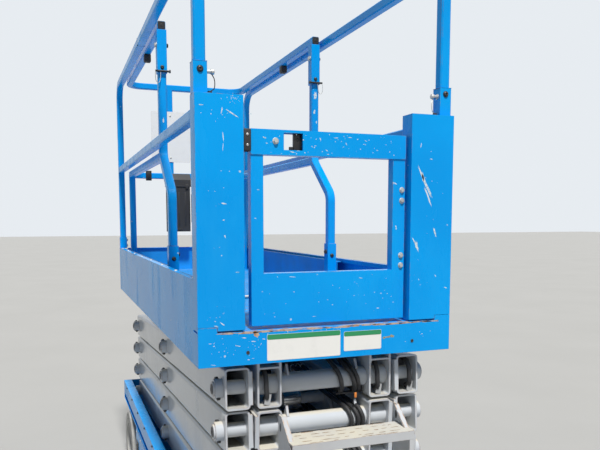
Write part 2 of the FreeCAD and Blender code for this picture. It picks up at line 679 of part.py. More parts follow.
def rear_axles():
    """Stub axles on brake housings, one each side of the tub."""
    housing = rod_x(REAR_AXLE_Y, TYRE_RADIUS, BRAKE_RADIUS, TUB_HALF_WIDTH,
                    WHEEL_IN_X - BRAKE_GAP)
    stub = rod_x(REAR_AXLE_Y, TYRE_RADIUS, AXLE_RADIUS, TUB_HALF_WIDTH,
                 HALF_WIDTH - AXLE_END_INSET)
    return Part.makeCompound(pair(fuse([housing, stub])))


def front_axle():
    """Axle arms out of the spine, each ending in a kingpin boss."""
    half = AXLE_ARM_HALF
    z0, z1 = TYRE_RADIUS - BOSS_HALF_HEIGHT, TYRE_RADIUS + BOSS_HALF_HEIGHT
    arm = box(SPINE_HALF_WIDTH, KINGPIN_X - KINGPIN_RADIUS, FRONT_AXLE_Y - half,
              FRONT_AXLE_Y + half, TYRE_RADIUS - half, TYRE_RADIUS + half)
    boss = rod_z(KINGPIN_X, FRONT_AXLE_Y, KINGPIN_BOSS_RADIUS, z0, z1)
    bore = rod_z(KINGPIN_X, FRONT_AXLE_Y, KINGPIN_RADIUS + FIT_GAP, z0, z1)
    return Part.makeCompound(pair(fuse([arm, boss]).cut(bore)))


def knuckle():
    """Right steering knuckle: yoke, kingpin, spindle and steering arm."""
    gap = BOSS_HALF_HEIGHT + RUNNING_GAP
    low, high = TYRE_RADIUS - gap, TYRE_RADIUS + gap
    x0 = KINGPIN_X - YOKE_TAIL
    x1 = WHEEL_IN_X - YOKE_WHEEL_GAP
    y0, y1 = FRONT_AXLE_Y - KNUCKLE_HALF_LENGTH, FRONT_AXLE_Y + KNUCKLE_HALF_LENGTH
    pin_y = FRONT_AXLE_Y - STEER_ARM
    arm_low = low - YOKE_THICKNESS
    solids = [
        box(x0, x1, y0, y1, high, high + YOKE_THICKNESS),
        box(x0, x1, y0, y1, arm_low, low),
        box(x1 - YOKE_THICKNESS + SHEET, x1, y0, y1, low, high),
        rod_z(KINGPIN_X, FRONT_AXLE_Y, KINGPIN_RADIUS, arm_low, high + YOKE_THICKNESS),
        rod_x(FRONT_AXLE_Y, TYRE_RADIUS, AXLE_RADIUS, x1 - SHEET, HALF_WIDTH - AXLE_END_INSET),
        box(KINGPIN_X - STEER_EYE_RADIUS, KINGPIN_X + STEER_EYE_RADIUS, pin_y, y0 + SHEET,
            arm_low, low),
        rod_z(KINGPIN_X, pin_y, STEER_EYE_RADIUS, arm_low, low),
        rod_z(KINGPIN_X, pin_y, TIE_PIN_RADIUS, TIE_ROD_Z - TIE_EYE_HALF - SHEET, low),
    ]
    return fuse(solids)


def tie_rod():
    """Link between the two steering arms, with an eye at each end."""
    y = FRONT_AXLE_Y - STEER_ARM
    z0, z1 = TIE_ROD_Z - TIE_EYE_HALF, TIE_ROD_Z + TIE_EYE_HALF
    reach = KINGPIN_X - TIE_EYE_HALF
    bar = rod_x(y, TIE_ROD_Z, TIE_ROD_RADIUS, -reach, reach)
    eyes = []
    holes = []
    for x in (-KINGPIN_X, KINGPIN_X):
        eyes.append(rod_z(x, y, TIE_EYE_RADIUS, z0, z1))
        holes.append(rod_z(x, y, TIE_PIN_RADIUS + FIT_GAP, z0, z1))
    return fuse([bar] + eyes).cut(fuse(holes))


def tyre(y):
    """Solid tyre on the right side, with a rounded outer shoulder."""
    edge = TYRE_RADIUS - SHOULDER_DROP
    outline = [(WHEEL_IN_X, RIM_RADIUS), (WHEEL_IN_X, TYRE_RADIUS),
               (HALF_WIDTH - TYRE_SHOULDER, TYRE_RADIUS), (HALF_WIDTH, edge),
               (HALF_WIDTH, RIM_RADIUS)]
    corners = [Vector(x, 0, r) for x, r in outline]
    face = Part.Face(Part.makePolygon(corners + corners[:1]))
    ring = face.revolve(Vector(0, 0, 0), Vector(1, 0, 0), 360)
    ring.translate(Vector(0, y, TYRE_RADIUS))
    return ring


def rim(y):
    """Dished rim on the right side, bored for its axle."""
    x0 = WHEEL_IN_X + RIM_INSET
    x1 = HALF_WIDTH - RIM_INSET
    hub_x = WHEEL_IN_X - HUB_INNER_REACH
    disc_x = HALF_WIDTH - RIM_DISH
    cap_x = HALF_WIDTH - HUB_OUTER_INSET
    barrel = rod_x(0, 0, RIM_RADIUS, x0, x1)
    hollow = rod_x(0, 0, RIM_RADIUS - RIM_WALL, x0, x1)
    disc = rod_x(0, 0, RIM_RADIUS - RIM_WALL / 2, disc_x - DISC_THICKNESS, disc_x)
    hub = rod_x(0, 0, HUB_RADIUS, hub_x, cap_x)
    cap = rod_x(0, 0, CAP_RADIUS, cap_x, HALF_WIDTH - CAP_INSET)
    bore = rod_x(0, 0, AXLE_RADIUS + FIT_GAP, hub_x, HALF_WIDTH - AXLE_END_INSET + FIT_GAP)
    wheel = fuse([barrel.cut(hollow), disc, hub, cap]).cut(bore)
    wheel.translate(Vector(0, y, TYRE_RADIUS))
    return wheel


def module_tray():
    """Right swing-out tray: floor, walls and two hinge lugs."""
    x0, x1, y0, y1 = TRAY_IN_X, TRACK_OUT_X, TRAY_REAR_Y, TRAY_FRONT_Y
    outer = box(x0, x1, y0, y1, TRAY_FLOOR_Z, TRAY_TOP_Z)
    inner = box(x0 + SHEET, x1 - SHEET, y0 + SHEET, y1 - SHEET, TRAY_FLOOR_Z + SHEET, TRAY_TOP_Z)
    lug = box(TRAY_PIN_X - TRAY_LUG_REACH, x1 - SHEET, y0 + SHEET, TRAY_PIN_Y + TRAY_LUG_REACH,
              TRAY_TOP_Z - TRAY_LUG_HEIGHT, TRAY_TOP_Z)
    holes = [rod_z(TRAY_PIN_X, TRAY_PIN_Y, TRAY_PIN_RADIUS + FIT_GAP, TRAY_FLOOR_Z, TRAY_TOP_Z)]
    for index in range(VENTS):
        y = (y0 + y1) / 2 + (index - (VENTS - 1) / 2) * VENT_PITCH
        holes.append(box(x1 - SHEET, x1, y - VENT_LENGTH / 2, y + VENT_LENGTH / 2,
                         VENT_Z, VENT_Z + VENT_HEIGHT))
    return fuse([outer.cut(inner), lug]).cut(fuse(holes))


def tray_load(front_gap, height):
    """Plain heavy block in a right tray, up to a gap at its front end."""
    side_gap = 2 * SHEET
    z0 = TRAY_FLOOR_Z + SHEET
    return box(TRAY_IN_X + side_gap, TRACK_OUT_X - side_gap, TRAY_REAR_Y + LOAD_REAR_GAP,
               TRAY_FRONT_Y - front_gap, z0, z0 + height)


def pothole_guard():
    """Right guard plate, stowed flat under the tray on its hinge pin."""
    x, z = GUARD_PIN_X, GUARD_PIN_Z
    low = z - LUG_PLATE
    leaf = box(x - GUARD_DEPTH, x, GUARD_REAR_Y, GUARD_FRONT_Y, low, low + PLATE)
    barrel = rod_y(x, z, GUARD_HINGE_RADIUS, GUARD_REAR_Y, GUARD_FRONT_Y)
    reach = PLATE + GUARD_ARM - SHEET / 2
    pin = rod_y(x, z, GUARD_PIN_RADIUS, GUARD_REAR_Y - reach, GUARD_FRONT_Y + reach)
    return fuse([leaf, barrel, pin])


def ladder_edge(y0, z0, y1, z1):
    """Flange folded inwards along one edge of a right ladder side plate."""
    run = math.hypot(y1 - y0, z1 - z0)
    over_y = (z1 - z0) / run * LADDER_PLATE
    over_z = (y0 - y1) / run * LADDER_PLATE
    outline = [(y0, z0), (y1, z1), (y1 + over_y, z1 + over_z), (y0 + over_y, z0 + over_z)]
    return prism_x(outline, LADDER_HALF_WIDTH - LADDER_FLANGE, LADDER_HALF_WIDTH)


def entry_ladder():
    """Side plates and treads at the rear of the chassis."""
    back = -HALF_LENGTH
    shoulder = LADDER_TOP_Z - LADDER_SHOULDER_DROP
    knee = DECK_TOP_PLATE_Z + LADDER_KNEE_RISE
    head = LADDER_HEAD_Y - LADDER_HEAD_DEPTH
    outline = [(REAR_PLATE_Y, LADDER_BOTTOM_Z + LADDER_FOOT_RISE), (REAR_PLATE_Y, knee),
               (LADDER_HEAD_Y, knee + LADDER_KNEE_HEIGHT), (LADDER_HEAD_Y, LADDER_TOP_Z),
               (head, LADDER_TOP_Z), (back, shoulder), (back, LADDER_BOTTOM_Z),
               (back + LADDER_TOE_DEPTH, LADDER_BOTTOM_Z)]
    half = LADDER_HALF_WIDTH
    solids = pair(prism_x(outline, half - LADDER_PLATE, half))
    solids.extend(pair(ladder_edge(back, LADDER_BOTTOM_Z, back, shoulder)))
    solids.extend(pair(ladder_edge(back, shoulder, head, LADDER_TOP_Z)))
    for index in range(TREADS):
        top = LADDER_TOP_Z - TREAD_DROP - index * TREAD_PITCH
        front = back + TREAD_DEPTH if top > knee + LADDER_KNEE_HEIGHT else REAR_PLATE_Y
        solids.append(box(-half, half, back, front, top - SHEET, top))
        for y in (back, front - SHEET):
            solids.append(box(-half, half, y, y + SHEET, top - TREAD_LIP, top))
    return fuse(solids)


def platform_deck():
    """Deck plate on cross ribs."""
    edge = HALF_WIDTH - SHEET
    y0 = REAR_FACE_Y + SHEET
    y1 = PLATFORM_FRONT_Y
    under = DECK_Z - DECK_SHEET
    solids = [box(-edge, edge, y0, y1, under, DECK_Z)]
    pitch = (y1 - y0 - 2 * RIB_END_GAP) / (RIB_COUNT - 1)
    for index in range(RIB_COUNT):
        y = y0 + RIB_END_GAP + index * pitch
        solids.append(box(-edge, edge, y - RIB_HALF_WIDTH, y + RIB_HALF_WIDTH, RIB_BOTTOM_Z, under))
    return fuse(solids)


def platform_pivots():
    """Brackets under the deck and the cross tube for the highest rear pins."""
    inside, outside = INNER_FACES
    under = DECK_Z - DECK_SHEET
    rear = PIN_REAR_Y - ARM_END
    front = PIN_REAR_Y + BRACKET_FRONT
    tube = hollow_bar(front - rear)
    tube.translate(Vector(INNER_ARM_X, rear, TOP_PIN_Z))
    cheek_low = TOP_PIN_Z + ARM_HEIGHT / 2 - ARM_CORNER
    cheek = box(inside, inside + PLATE, rear, front, cheek_low, under)
    far_cheek = box(outside - PLATE, outside, rear, front, cheek_low, under)
    solids = pair(tube) + pair(cheek) + pair(far_cheek)
    solids.extend(cross_tube(PIN_REAR_Y, TOP_PIN_Z, outside))
    bore = rod_x(PIN_REAR_Y, TOP_PIN_Z, PIN_RADIUS + FIT_GAP, -outside, outside)
    return fuse(solids).cut(bore).cut(platform_deck())


def platform_tracks():
    """Channels under the deck that the top rollers run in."""
    half = TOP_ROLLER_RADIUS + FIT_GAP
    y0 = PIN_REAR_Y + RAISED_SPAN - TOP_ROLLER_RADIUS - TRACK_END_ROOM
    y1 = PIN_FRONT_Y + TOP_ROLLER_RADIUS + 4 * TRACK_WALL
    low = TOP_PIN_Z - half - TRACK_WALL
    high = TOP_PIN_Z + half + TRACK_WALL
    outer = box(TOP_TRACK_IN_X, TOP_TRACK_OUT_X, y0, y1, low, high)
    inner = box(TOP_TRACK_IN_X + TRACK_WALL, TOP_TRACK_OUT_X, y0, y1, TOP_PIN_Z - half,
                TOP_PIN_Z + half)
    web_x = TOP_TRACK_IN_X + TOP_TRACK_DEPTH / 2
    hanger = box(web_x - TRACK_WALL / 2, web_x + TRACK_WALL / 2, y0, y1, high, RIB_BOTTOM_Z)
    return Part.makeCompound(pair(fuse([outer.cut(inner), hanger])))


def fascia():
    """Rear fascia with its folded ledge and upturned corner tabs."""
    half = HALF_WIDTH
    y = REAR_FACE_Y
    face = box(-half, half, y, y + SHEET, FASCIA_BOTTOM_Z, DECK_Z)
    foot = box(SHEET - half, half - SHEET, y, y + FASCIA_FOOT, FASCIA_BOTTOM_Z,
               FASCIA_BOTTOM_Z + SHEET)
    tab = box(half - TAB_WIDTH + TAB_SEAM, half, y, y + SHEET, DECK_Z,
              DECK_Z + COLUMN_GAP + TAB_HEIGHT - TAB_SEAM)
    return fuse([face, foot] + pair(tab))


def entry_column(width, height, side):
    """Folded sheet column beside the gate, open towards the platform."""
    y0, y1 = REAR_FACE_Y, COLUMN_BACK_Y
    outer_x = HALF_WIDTH
    inner_x = outer_x - width
    z0 = DECK_Z + COLUMN_GAP
    z1 = DECK_Z + height
    shell = box(inner_x, outer_x, y0, y1, z0, z1)
    room = box(inner_x + SHEET, outer_x - SHEET, y0 + SHEET, y1 - SHEET, z0, z1 - SHEET)
    mouth = box(inner_x + FLANGE, outer_x - FLANGE, y1 - SHEET, y1, z0, z1 - SHEET)
    notch = box(outer_x - TAB_WIDTH, outer_x, y0, y0 + SHEET, z0, z0 + TAB_HEIGHT)
    foot = box(inner_x + SHEET, outer_x - SHEET, y0 + SHEET + COLUMN_FOOT_INSET, y1 - SHEET,
               DECK_Z, z0 + SHEET)
    socket = sleeve(RAIL_X, POST_Y, z1 - SOCKET_SEAT, z1 + SOCKET_RISE)
    half_bore = HALF_TUBE + FIT_GAP
    bore = box(RAIL_X - half_bore, RAIL_X + half_bore, POST_Y - half_bore, POST_Y + half_bore,
               z1, z1 + SOCKET_RISE)
    column = fuse([shell.cut(room).cut(mouth).cut(notch), foot, socket]).cut(bore)
    return fuse([column, hinge_lugs()]) if side > 0 else mirrored(column)


def side_panel():
    """Right toe board panel with flanges folded inwards, running under the column."""
    x = HALF_WIDTH
    rear = REAR_FACE_Y + SHEET
    y0 = COLUMN_BACK_Y
    y1 = PLATFORM_FRONT_Y
    z0 = FASCIA_BOTTOM_Z
    z1 = DECK_Z + TOE_HEIGHT
    outline = [(rear, z0), (y1, z0), (y1, z1), (y0, z1), (y0, DECK_Z), (rear, DECK_Z)]
    sheet = prism_x(outline, x - SHEET, x)
    top = box(x - FLANGE, x, y0, y1, z1 - SHEET, z1)
    lip = box(x - FLANGE, x - FLANGE + SHEET, y0, y1, z1 - FLANGE_LIP, z1)
    bottom = box(x - FLANGE, x, y0, y1, z0, z0 + SHEET)
    return fuse([sheet, top, lip, bottom])


def guard_rail():
    """Right main rail: rear post, top rail, front post and mid rail."""
    front_y = PLATFORM_FRONT_Y - HALF_SLEEVE
    x = RAIL_X
    side = Vector(1, 0, 0)
    foot_z = DECK_Z + TOE_HEIGHT
    top_z = DECK_Z + RAIL_TOP
    mid_z = DECK_Z + MID_RAIL
    hoop = square_tube([(x, POST_Y, RAIL_FOOT_Z), (x, POST_Y, top_z), (x, front_y, top_z),
                        (x, front_y, foot_z)], side)
    mid = square_tube([(x, COLUMN_BACK_Y, mid_z), (x, front_y, mid_z)], side)
    return fuse([hoop, mid, sleeve(x, front_y, foot_z, foot_z + POST_FOOT_HEIGHT)])


def gate():
    """Entry gate: stiles, hollow head with a hand hole, window and panel."""
    x0, x1 = GATE_LEFT_X, GATE_RIGHT_X
    y0, y1 = GATE_Y, GATE_Y + GATE_THICKNESS
    z0, z1 = DECK_Z + GATE_BOTTOM, DECK_Z + GATE_TOP
    sill = DECK_Z + WINDOW_BOTTOM
    frame = box(x0, x1, y0, y1, z0, z1)
    proud = box(x0, x1, y0 - HEAD_PROUD, y0, z1 - GATE_HEAD, z1)
    window = box(x0 + GATE_LEFT_STILE, x1 - GATE_RIGHT_STILE, y0, y1, sill, z1 - GATE_HEAD)
    back = box(x0 + SHEET, x1 - SHEET, y0 + SHEET, y1, z0 + SHEET, sill - SHEET)
    head = box(x0 + SHEET, x1 - SHEET, y0 + SHEET, y1 - SHEET, z1 - GATE_HEAD + SHEET, z1 - SHEET)
    hole_x = x0 + HAND_HOLE_X
    hole_top = z1 - HAND_HOLE_TOP
    hand_hole = box(hole_x, hole_x + HAND_HOLE_WIDTH, y0 - HEAD_PROUD, y1,
                    hole_top - HAND_HOLE_HEIGHT, hole_top)
    solids = [fuse([frame, proud]).cut(fuse([window, back, head, hand_hole]))]
    for height in GATE_HINGES:
        z = DECK_Z + height
        leaf = (z - HINGE_LEAF_HALF, z + HINGE_LEAF_HALF)
        solids.append(rod_z(GATE_PIN_X, GATE_PIN_Y, GATE_PIN_RADIUS, z - HINGE_HALF,
                            z + HINGE_HALF))
        solids.append(rod_z(GATE_PIN_X, GATE_PIN_Y, GATE_PIN_RADIUS + HINGE_WALL, *leaf))
        solids.append(box(x1 - HINGE_LEAF_REACH, GATE_PIN_X, y1, GATE_PIN_Y, *leaf))
    return fuse(solids)


def hinge_lugs():
    """Lugs on the back of the right column, above and below each gate leaf."""
    solids = []
    bores = []
    for height in GATE_HINGES:
        for sign in (-1, 1):
            z0 = DECK_Z + height + sign * (HINGE_LEAF_HALF + HINGE_GAP)
            z1 = DECK_Z + height + sign * HINGE_HALF
            solids.append(rod_z(GATE_PIN_X, GATE_PIN_Y, GATE_PIN_RADIUS + HINGE_WALL, z0, z1))
            solids.append(box(GATE_PIN_X, GATE_PIN_X + HINGE_LUG_REACH, COLUMN_BACK_Y,
                              GATE_PIN_Y + GATE_PIN_RADIUS, z0, z1))
            bores.append(rod_z(GATE_PIN_X, GATE_PIN_Y, GATE_PIN_RADIUS + SEAT_GAP, z0, z1))
    return fuse(solids).cut(fuse(bores))


def extension_deck():
    """Slide-out deck plate with its side and front toe boards."""
    half = EXTENSION_HALF_WIDTH
    y0, y1 = EXTENSION_REAR_Y, PLATFORM_FRONT_Y
    z0 = DECK_Z + EXTENSION_RISE
    z1 = DECK_Z + TOE_HEIGHT - SHEET - RUNNING_GAP
    top = DECK_Z + TOE_HEIGHT
    solids = [box(-half, half, y0, y1, z0, z0 + SHEET)]
    solids.extend(pair(box(RUNNER_X - RUNNER_HALF_WIDTH, RUNNER_X + RUNNER_HALF_WIDTH, y0,
                           y1 - RUNNER_FRONT_GAP, DECK_Z + SEAT_GAP, z0)))
    solids.extend(pair(box(half - SHEET, half, y0, y1, z0, z1)))
    solids.extend(pair(box(half, half + EXTENSION_FLANGE, y0, y1, z1 - SHEET, z1)))
    solids.append(box(-half, half, y1 - SHEET, y1, DECK_Z + SHEET / 2, top))
    solids.append(box(-half, half, y1 - EXTENSION_FLANGE, y1, top - SHEET, top))
    return fuse(solids)


def extension_rails():
    """Extension guard rails with S-bent rear posts and a rounded front."""
    x = EXTENSION_POST_X
    front = EXTENSION_FRONT_Y
    low_y = EXTENSION_REAR_Y + POST_REAR_SETBACK
    high_y = low_y + POST_LEAN
    base = DECK_Z + EXTENSION_RISE + SHEET
    solids = []
    for height, rear in ((EXTENSION_RAIL_TOP, high_y - HALF_TUBE), (EXTENSION_MID_RAIL, high_y)):
        z = DECK_Z + height
        solids.append(square_tube([(x, rear, z), (x, front, z), (-x, front, z), (-x, rear, z)],
                                  Vector(0, 0, 1), EXTENSION_BEND))
    top = DECK_Z + EXTENSION_RAIL_TOP
    post = square_tube([(x, low_y, base), (x, low_y, DECK_Z + BEND_LOW),
                        (x, high_y, DECK_Z + BEND_HIGH), (x, high_y, top)], Vector(1, 0, 0),
                       POST_BEND)
    middle = DECK_Z + EXTENSION_MID_RAIL
    corner_y = front - EXTENSION_BEND
    corner_post = square_tube([(x, corner_y, base), (x, corner_y, middle)], Vector(1, 0, 0))
    solids.append(square_tube([(EXTENSION_POST_INNER_X, front, middle),
                               (EXTENSION_POST_INNER_X, front, top)], Vector(1, 0, 0)))
    high_sleeve = sleeve(x, high_y, top - HALF_TUBE - EXTENSION_SLEEVE_LENGTH, top - HALF_TUBE)
    foot = sleeve(x, low_y, base, base + EXTENSION_FOOT_HEIGHT)
    for piece in (post, corner_post, high_sleeve, foot):
        solids.extend(pair(piece))
    return fuse(solids)


def control_box():
    """Platform control box hooked over the front mid rail."""
    y1 = BOX_BACK_Y
    x0, x1 = CONTROL_X
    z0 = DECK_Z + CONTROL_BASE
    z1 = z0 + CONTROL_HEIGHT
    face_y, face_z = y1 - CONTROL_TOP_DEPTH, z1
    foot_y, foot_z = y1 - CONTROL_DEPTH, z1 - CONTROL_FACE_DROP
    solids = [prism_x([(y1, z0), (y1, z1), (face_y, face_z), (foot_y, foot_z), (foot_y, z0)],
                      x0, x1)]
    rail_top = DECK_Z + EXTENSION_MID_RAIL + HALF_TUBE + SEAT_GAP
    rail_front = EXTENSION_FRONT_Y + HALF_TUBE + SEAT_GAP
    for x in (x0 + HOOK_EDGE_GAP, x1 - HOOK_EDGE_GAP - HOOK_WIDTH):
        far = x + HOOK_WIDTH
        over = rail_top + HOOK_THICKNESS
        solids.append(box(x, far, y1 - HOOK_THICKNESS, y1, z1 - HOOK_LIP, over))
        solids.append(box(x, far, y1 - HOOK_THICKNESS, rail_front + HOOK_THICKNESS, rail_top, over))
        solids.append(box(x, far, rail_front, rail_front + HOOK_THICKNESS, rail_top - HOOK_LIP, over))
    slope = math.hypot(face_y - foot_y, face_z - foot_z)
    out = Vector(0, foot_z - face_z, face_y - foot_y) * (1 / slope)
    middle = (Vector(0, face_y, face_z) + Vector(0, foot_y, foot_z)) * 0.5
    width = x1 - x0
    controls = ((0.25, STOP_RADIUS, STOP_RADIUS), (0.50, SWITCH_RADIUS, STOP_RADIUS),
                (0.75, STICK_RADIUS, STICK_LENGTH))
    for share, radius, length in controls:
        foot = middle + Vector(x0 + share * width, 0, 0) - out
        solids.append(Part.makeCylinder(radius, length, foot, out))
    knob = middle + Vector(x0 + controls[-1][0] * width, 0, 0) + out * (STICK_LENGTH - KNOB_RADIUS)
    solids.append(Part.makeCylinder(KNOB_RADIUS, 2 * KNOB_RADIUS, knob, out))
    return fuse(solids)


def document_box():
    """Lidded box for the papers, screwed to the front mid rail."""
    x0, x1 = DOCUMENT_X
    y1 = BOX_BACK_Y
    y0 = y1 - DOCUMENT_DEPTH
    z0 = DECK_Z + DOCUMENT_BASE
    z1 = z0 + DOCUMENT_HEIGHT
    body = box(x0 + LID_PROUD, x1 - LID_PROUD, y0 + LID_PROUD, y1, z0, z1 - DOCUMENT_LID)
    upright = [edge for edge in body.Edges
               if edge.Vertexes[0].Point.z != edge.Vertexes[1].Point.z
               and edge.Vertexes[0].Point.y < y1 - LID_PROUD]
    body = body.makeFillet(BOX_CORNER, upright)
    low = z1 - DOCUMENT_LID
    lid = prism_x([(y1, low), (y0, low), (y0, z1 - DOCUMENT_LID / 2), (y0 + DOCUMENT_DEPTH / 2, z1),
                   (y1, z1)], x0, x1)
    return fuse([body, lid])


def build():
    save("chassis_frame", chassis_frame())
    save("slide_tracks", slide_tracks())
    save("rear_axles", rear_axles())
    save("front_axle", front_axle())
    save("entry_ladder", entry_ladder())
    for side, flip in (("right", False), ("left", True)):
        for end, y in (("rear", REAR_AXLE_Y), ("front", FRONT_AXLE_Y)):
            for name, shape in (("tyre", tyre(y)), ("rim", rim(y))):
                save(name + "_" + end + "_" + side, mirrored(shape) if flip else shape)
        for name, shape in (("knuckle", knuckle()), ("module_tray", module_tray()),
                            ("pothole_guard", pothole_guard()), ("side_panel", side_panel()),
                            ("guard_rail", guard_rail())):
            save(name + "_" + side, mirrored(shape) if flip else shape)
    save("tie_rod", tie_rod())
    save("battery_pack", mirrored(tray_load(BATTERY_FRONT_GAP, BATTERY_HEIGHT)))
    save("hydraulic_unit", tray_load(HYDRAULIC_FRONT_GAP, HYDRAULIC_HEIGHT))
    for level in range(1, LEVELS + 1):
        save("inner_arm_" + str(level), inner_arm(level))
        save("outer_arm_" + str(level), outer_arm(level))
    barrel, rod = lift_cylinder()
    save("cylinder_barrel", barrel)
    save("cylinder_rod", rod)
    save("platform_deck", platform_deck())
    save("platform_pivots", platform_pivots())
    save("platform_tracks", platform_tracks())
    save("fascia", fascia())
    save("entry_column_left", entry_column(LEFT_COLUMN_WIDTH, LEFT_COLUMN_HEIGHT, -1))
    save("entry_column_right", entry_column(RIGHT_COLUMN_WIDTH, RIGHT_COLUMN_HEIGHT, 1))
    save("gate", gate())
    save("extension_deck", extension_deck())
    save("extension_rails", extension_rails())
    save("control_box", control_box())
    save("document_box", document_box())


os.makedirs("parts", exist_ok=True)
build()
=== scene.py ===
import bpy
import bmesh
import json
import math
import random
from mathutils import Matrix, Vector


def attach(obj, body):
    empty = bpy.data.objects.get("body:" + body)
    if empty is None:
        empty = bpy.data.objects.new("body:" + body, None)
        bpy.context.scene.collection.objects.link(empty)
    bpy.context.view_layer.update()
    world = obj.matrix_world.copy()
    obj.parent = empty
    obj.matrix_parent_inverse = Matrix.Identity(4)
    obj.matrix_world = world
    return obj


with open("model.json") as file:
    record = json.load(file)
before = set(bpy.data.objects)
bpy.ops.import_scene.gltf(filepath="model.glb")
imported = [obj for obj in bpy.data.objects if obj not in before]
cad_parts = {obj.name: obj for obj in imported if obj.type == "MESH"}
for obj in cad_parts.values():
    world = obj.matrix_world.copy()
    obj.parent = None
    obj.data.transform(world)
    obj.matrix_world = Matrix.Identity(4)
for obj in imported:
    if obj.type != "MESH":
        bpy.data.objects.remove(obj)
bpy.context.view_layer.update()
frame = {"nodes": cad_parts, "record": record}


# Places repeated from the frame, in metres

DECK = 1.16
FASCIA_Y = -1.056
GATE_FACE_Y = -1.036
HEAD_FACE_Y = -1.039
RAIL_X = 0.384
TUBE_HALF = 0.0165
SLEEVE_HALF = 0.0195
REAR_POST_Y = -1.019
COLUMN_TOP = {-1: DECK + 0.655, 1: DECK + 0.634}
SOCKET_RISE = 0.086
EXTENSION_X = 0.3342
EXTENSION_TOP_Z = DECK + 1.095
EXTENSION_POST_Y = -0.072
FRONT_RAIL_Y = 1.163 - TUBE_HALF
EXTENSION_BOX_Y = 1.1462
PIN_REAR_Y = -0.968
PIN_HEAD_X = 0.348
BASE_PIN_Z = 0.46
PIN_SPAN, ROW_PITCH = 2.05, 0.13
TOP_PIN_Z = BASE_PIN_Z + 4 * ROW_PITCH
ARM_LENGTH = math.hypot(PIN_SPAN, ROW_PITCH)
ARM_TILT = math.atan2(ROW_PITCH, PIN_SPAN)
WHEEL_Z, AXLE_Y = 0.1905, 0.925
TRAY_FACE_X = 0.398
REAR_PLATE_Y = -1.158
LADDER_X = 0.187
LADDER_TREAD_TOPS = (0.872, 0.622, 0.372)
LADDER_BACK_Y, LADDER_KNEE_Y = -1.22, -1.158
LADDER_SHOULDER = (LADDER_BACK_Y, 0.845)
LADDER_HEAD = (-1.128, 0.925)

MM = 0.001
BOTH = (-1, 1)
REAR, FRONT = (0, -1, 0), (0, 1, 0)
UP, DOWN = (0, 0, 1), (0, 0, -1)
OUTWARD, INWARD = (1, 0, 0), (-1, 0, 0)


# Node helpers

class Nodes:
    """Short calls for the nodes of one tree."""

    def __init__(self, tree):
        self.tree = tree

    def add(self, kind, **inputs):
        made = self.tree.nodes.new(kind)
        for name, value in inputs.items():
            self.feed(made.inputs[name.replace("_", " ")], value)
        return made

    def feed(self, socket, value):
        if isinstance(value, bpy.types.NodeSocket):
            self.tree.links.new(value, socket)
        else:
            socket.default_value = value

    def math(self, operation, a, b=0.0, clamp=False):
        made = self.tree.nodes.new("ShaderNodeMath")
        made.operation = operation
        made.use_clamp = clamp
        self.feed(made.inputs[0], a)
        self.feed(made.inputs[1], b)
        return made.outputs[0]

    def times(self, a, b):
        return self.math("MULTIPLY", a, b)


